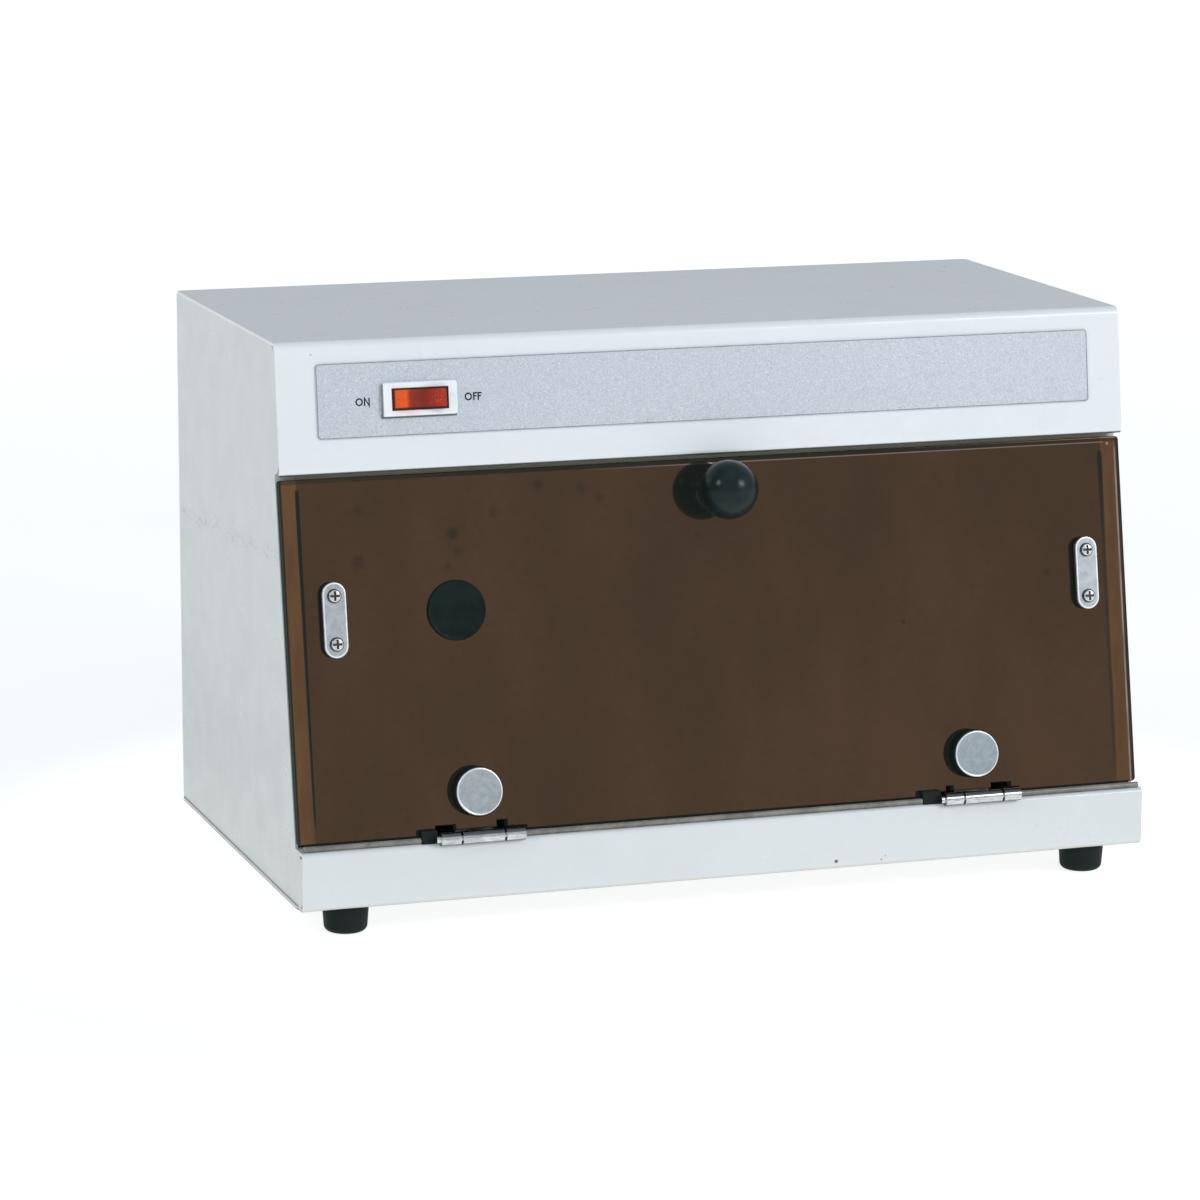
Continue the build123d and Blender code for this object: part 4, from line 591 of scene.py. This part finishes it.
def rocker_material():
    """Translucent red rocker with its lighting painted in: a bright, faintly glowing orange end,
    a shaded dark middle, and a speckled red far end."""
    m = Mat("rocker_red", Specular_IOR_Level=0.22)
    x = m.axis(0)
    wob = m.math("MULTIPLY", m.math("SUBTRACT", m.noise(1.6, 3.0), 0.5), 0.9)
    t = m.span(m.math("ADD", x, wob), -136.0, -113.6, smooth=False)
    # painted lighting along the rocker: a bright raised left end, a shaded middle, a lighter far end, a dark edge
    col = m.ramp(
        t,
        (0.00, (0.52, 0.064, 0.010)),
        (0.24, (0.58, 0.075, 0.011)),
        (0.29, (0.34, 0.030, 0.010)),
        (0.35, (0.225, 0.025, 0.012)),
        (0.58, (0.190, 0.020, 0.011)),
        (0.74, (0.290, 0.022, 0.010)),
        (0.93, (0.370, 0.032, 0.013)),
        (0.97, (0.120, 0.008, 0.006)),
        (1.00, (0.050, 0.005, 0.004)),
    )
    v = m.along(tuple(VAL_O), tuple(VAL_Y))
    speck = m.span(m.cells(0.75), 0.34, 0.14)
    far = m.span(x, -122.5, -117.0)
    col = m.mix(m.math("MULTIPLY", m.math("MULTIPLY", speck, far), 0.7), col, (0.85, 0.18, 0.10))
    line = m.span(m.math("ABSOLUTE", m.math("SUBTRACT", v, VY)), 0.35, 0.1)
    left = m.span(x, -130.6, -131.6)
    col = m.mix(m.math("MULTIPLY", m.math("MULTIPLY", line, left), 0.30), col, (0.36, 0.03, 0.008))
    # painted shade in the gaps where the rocker meets its frame
    side_x = m.span(m.math("ABSOLUTE", m.math("SUBTRACT", x, -124.6)), 10.55, 10.95)
    side_v = m.span(m.math("ABSOLUTE", m.math("SUBTRACT", v, VY)), 3.55, 3.95)
    dark = m.math("MAXIMUM", m.math("MAXIMUM", side_x, side_v), m.span(v, VY - 3.15, VY - 3.6))
    col = m.mix(m.math("MULTIPLY", dark, 0.88), col, (0.030, 0.010, 0.008))
    # painted glow: the emission follows the painted lighting, strongest on the raised end
    light = m.ramp(t, (0.0, grey(1.0)), (0.25, grey(1.0)), (0.31, grey(0.25)), (0.70, grey(0.2)), (0.9, grey(0.45)), (1.0, grey(0.0)))
    light = m.mix(dark, light, grey(0.0))
    m.set(Base_Color=col, Roughness=m.span(m.noise(1.2, 4.0), 0.3, 0.7, 0.18, 0.32),
          Emission_Color=m.mix(light, grey(0.0), col), Emission_Strength=0.30,
          Normal=m.bump(m.noise(0.6, 3.0), 0.12, 0.02))
    return m.m


MATS["rocker_red"] = rocker_material()


def lamp_material():
    """Clear quartz tube with the faint grey film of use near its ends."""
    m = Mat("lamp_glass", Transmission_Weight=0.86, IOR=1.46, Specular_IOR_Level=0.5)
    ends = m.span(m.math("ABSOLUTE", m.axis(0)), 112.0, 136.0)
    film = m.noise(6.0, 4.0, 0.6)
    col = m.mix(m.math("MULTIPLY", ends, m.span(film, 0.3, 0.7, 0.4, 0.9)), (0.93, 0.95, 0.97), (0.42, 0.42, 0.44))
    m.set(Base_Color=col, Roughness=m.span(film, 0.3, 0.7, 0.03, 0.09))
    return m.m


MATS["lamp_glass"] = lamp_material()
ink = gloss_black("label_ink", (0.012, 0.015, 0.023), (0.5, 0.65), 0.2, 0.3, 0.01)
border_ink = gloss_black("label_border", (0.24, 0.245, 0.28), (0.45, 0.6), 0.3, 0.3, 0.01)

SPECIAL = {
    "left_side_panel": enamel_side_shaded,
    "right_side_panel": enamel_side_shaded,
    "base_pan": enamel_sill_shaded,
    "top_cover": enamel_top,
    "left_hinge_cap": cap_left_lit,
    "right_hinge_cap": cap_right_shaded,
    "catch_plate_screws": screw_metal,
    "left_hinge_base_leaf": hinge_chrome,
    "right_hinge_base_leaf": hinge_chrome,
    "left_hinge_door_leaf": hinge_chrome,
    "right_hinge_door_leaf": hinge_chrome,
    "hinge_pins": hinge_chrome,
}
for node, obj in NODES.items():
    mat = SPECIAL.get(node) or MATS[SLOT_OF[node]]
    if not obj.material_slots:
        obj.data.materials.append(mat)
    for s in obj.material_slots:
        s.material = mat


# ----------------------------------------------------------------------------
# Pieces on the label: its thin dark border and the two words at the switch
# ----------------------------------------------------------------------------
def mesh_piece(name, verts, faces, mat, body):
    me = bpy.data.meshes.new(name)
    me.from_pydata([tuple(v) for v in verts], [], faces)
    bm = bmesh.new()
    bm.from_mesh(me)
    bmesh.ops.remove_doubles(bm, verts=bm.verts, dist=1e-7)
    bmesh.ops.recalc_face_normals(bm, faces=bm.faces)
    bm.to_mesh(me)
    bm.free()
    me.materials.append(mat)
    ob = bpy.data.objects.new(name, me)
    scene.collection.objects.link(ob)
    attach(ob, body)
    return ob


def stroke(line, width, place, lo, hi, closed=False):
    """A flat bar of the given width along a line of (x, z) points in millimetres, from height
    lo to hi over the valance, mitred at its corners. Returns vertices in metres and faces."""
    n = len(line)
    pts = [Vector((p[0], p[1])) for p in line]
    left, rightside = [], []
    for i in range(n):
        if closed:
            a, b = pts[i - 1], pts[(i + 1) % n]
            d0, d1 = (pts[i] - a).normalized(), (b - pts[i]).normalized()
        else:
            d0 = (pts[i] - pts[i - 1]).normalized() if i else (pts[1] - pts[0]).normalized()
            d1 = (pts[i + 1] - pts[i]).normalized() if i < n - 1 else d0
        t = (d0 + d1).normalized()
        nrm = Vector((-t.y, t.x))
        k = width / 2 / max(0.35, nrm.dot(Vector((-d0.y, d0.x))))
        left.append(pts[i] + nrm * k)
        rightside.append(pts[i] - nrm * k)
    verts, faces = [], []
    for h in (lo, hi):
        for p in left + rightside:
            verts.append(place(p.x, p.y, h) / 1000.0)
    L, R, T = 0, n, 2 * n
    count = n if closed else n - 1
    for i in range(count):
        j = (i + 1) % n
        faces.append((T + L + i, T + R + i, T + R + j, T + L + j))
        faces.append((L + i, L + j, R + j, R + i))
        faces.append((L + i, T + L + i, T + L + j, L + j))
        faces.append((R + i, R + j, T + R + j, T + R + i))
    if not closed:
        faces.append((L, R, T + R, T + L))
        e = n - 1
        faces.append((L + e, T + L + e, T + R + e, R + e))
    return verts, faces


def join(parts):
    verts, faces = [], []
    for v, f in parts:
        k = len(verts)
        verts += v
        faces += [tuple(i + k for i in q) for q in f]
    return verts, faces


def rounded_outline(w, h, r, cx, cz, steps=6):
    pts = []
    for qx, qz, a0 in ((1, 1, 0), (-1, 1, 90), (-1, -1, 180), (1, -1, 270)):
        for i in range(steps + 1):
            a = radians(a0 + 90 * i / steps)
            pts.append((cx + qx * (w / 2 - r) + r * cos(a), cz + qz * (h / 2 - r) + r * sin(a)))
    return pts


LABEL_H = 0.6
CZ = (197.8 + 227.8) / 2
ring = rounded_outline(335.0, 29.35, 1.3, 0.65, CZ)
v, f = stroke(ring, 0.34, on_valance, LABEL_H - 0.02, LABEL_H + 0.05, closed=True)
mesh_piece("label_border", v, f, border_ink, "cabinet")


def letter_o(cx, cz, w, h, weight):
    pts = [
        (cx + (w - weight) / 2 * cos(2 * pi * i / 28), cz + (h - weight) / 2 * sin(2 * pi * i / 28))
        for i in range(28)
    ]
    return stroke(pts, weight, on_valance, LABEL_H - 0.02, LABEL_H + 0.06, closed=True)


def bars(lines, weight):
    return [stroke(l, weight, on_valance, LABEL_H - 0.02, LABEL_H + 0.06) for l in lines]


H, WT = 3.2, 0.60
zc = 212.0
word = [letter_o(-149.55, zc, 3.1, H, WT)]
x0, x1 = -147.30, -145.42
word += bars([[(x0, zc - H / 2), (x0, zc + H / 2 - 0.05), (x1, zc - H / 2 + 0.05), (x1, zc + H / 2)]], WT)
v, f = join(word)
mesh_piece("word_on", v, f, ink, "cabinet")

zc = 212.2
word = [letter_o(-103.95, zc, 3.1, H, WT)]
for x0 in (-101.65, -99.75):
    word += bars([[(x0, zc - H / 2), (x0, zc + H / 2 - WT / 2), (x0 + 1.45, zc + H / 2 - WT / 2)]], WT)
    word += bars([[(x0 + WT / 2, zc + 0.12), (x0 + 1.25, zc + 0.12)]], WT * 0.9)
v, f = join(word)
mesh_piece("word_off", v, f, ink, "cabinet")

# ----------------------------------------------------------------------------
# Floor
# ----------------------------------------------------------------------------
fm = Mat("studio_floor", Roughness=0.85, Specular_IOR_Level=0.15)
tone = fm.noise(380.0, 3.0, 0.5)
fm.set(Base_Color=fm.mix(fm.span(tone, 0.3, 0.7), (0.47, 0.475, 0.48), (0.50, 0.503, 0.505)),
       Normal=fm.bump(fm.noise(3.0, 2.0), 0.05, 0.05))
fm.b.inputs["Emission Color"].default_value = (0.99, 1.0, 1.0, 1.0)
away = fm.new("ShaderNodeVectorMath")
away.operation = "LENGTH"
fm.put(away.inputs[0], fm.mm)
far = fm.span(away.outputs["Value"], 500.0, 2600.0, 0.66, 0.80)
# painted light: extra floor emission close around the cabinet that lifts its shadow
near = fm.span(away.outputs["Value"], 340.0, 220.0, 0.0, 0.20)
fm.put(fm.b.inputs["Emission Strength"], fm.math("ADD", far, near))
bpy.ops.mesh.primitive_grid_add(x_subdivisions=8, y_subdivisions=8, size=40.0, location=(0, 0, -0.0004))
floor = bpy.context.active_object
floor.name = "studio_floor"
floor.data.materials.append(fm.m)

# ----------------------------------------------------------------------------
# Light: an even, nearly white room, two soft boxes in front and one behind
# ----------------------------------------------------------------------------
world = bpy.data.worlds.new("studio")
scene.world = world
world.use_nodes = True
nt = world.node_tree
nt.nodes.clear()
out = nt.nodes.new("ShaderNodeOutputWorld")
bg = nt.nodes.new("ShaderNodeBackground")
nt.links.new(bg.outputs[0], out.inputs[0])
tc = nt.nodes.new("ShaderNodeTexCoord")
sep = nt.nodes.new("ShaderNodeSeparateXYZ")
nt.links.new(tc.outputs["Generated"], sep.inputs[0])


def world_span(value, a, b, lo, hi):
    n = nt.nodes.new("ShaderNodeMapRange")
    n.interpolation_type = "SMOOTHSTEP"
    nt.links.new(value, n.inputs["Value"])
    for key, val in (("From Min", a), ("From Max", b), ("To Min", lo), ("To Max", hi)):
        n.inputs[key].default_value = val
    return n.outputs["Result"]


def world_math(op, a, b):
    n = nt.nodes.new("ShaderNodeMath")
    n.operation = op
    for socket, value in ((n.inputs[0], a), (n.inputs[1], b)):
        if isinstance(value, bpy.types.NodeSocket):
            nt.links.new(value, socket)
        else:
            socket.default_value = value
    return n.outputs[0]


front = world_span(sep.outputs["Y"], 0.40, -0.40, 0.44, 0.69)
above = world_span(sep.outputs["Z"], 0.38, 0.95, 1.0, 0.96)
left_dim = world_span(sep.outputs["X"], -0.30, -0.90, 1.0, 0.44)
level = world_math("MULTIPLY", world_math("MULTIPLY", front, above), left_dim)
nt.links.new(level, bg.inputs["Strength"])
tint = nt.nodes.new("ShaderNodeMix")
tint.data_type = "RGBA"
nt.links.new(world_span(sep.outputs["Z"], 0.05, 0.75, 0.0, 1.0), tint.inputs[0])
tint.inputs[6].default_value = (0.98, 0.99, 1.0, 1.0)
tint.inputs[7].default_value = (0.88, 0.97, 1.10, 1.0)
nt.links.new(tint.outputs[2], bg.inputs["Color"])


def soft_box(name, az, el, distance, size, power, colour=(1, 1, 1), aim=(0, -0.06, 0.13)):
    a, e = radians(az), radians(el)
    d = Vector((sin(a) * cos(e), -cos(a) * cos(e), sin(e)))
    data = bpy.data.lights.new(name, "AREA")
    data.shape = "RECTANGLE"
    data.size, data.size_y = size
    data.energy = power
    data.color = colour
    lamp = bpy.data.objects.new(name, data)
    scene.collection.objects.link(lamp)
    lamp.location = Vector(aim) + d * distance
    lamp.rotation_mode = "QUATERNION"
    lamp.rotation_quaternion = d.to_track_quat("Z", "Y")
    lamp.visible_camera = False
    return lamp


soft_box("box_left", -67.3, 32.7, 2.4, (0.50, 0.50), 8.0)
soft_box("box_right", 37.2, 28.4, 2.4, (0.62, 0.62), 16.0)
soft_box("box_rear", 165, 55, 2.4, (1.6, 0.5), 2.5)

scene.view_settings.view_transform = "Standard"
scene.view_settings.look = "None"
scene.view_settings.exposure = 0.0
scene.view_settings.gamma = 1.0
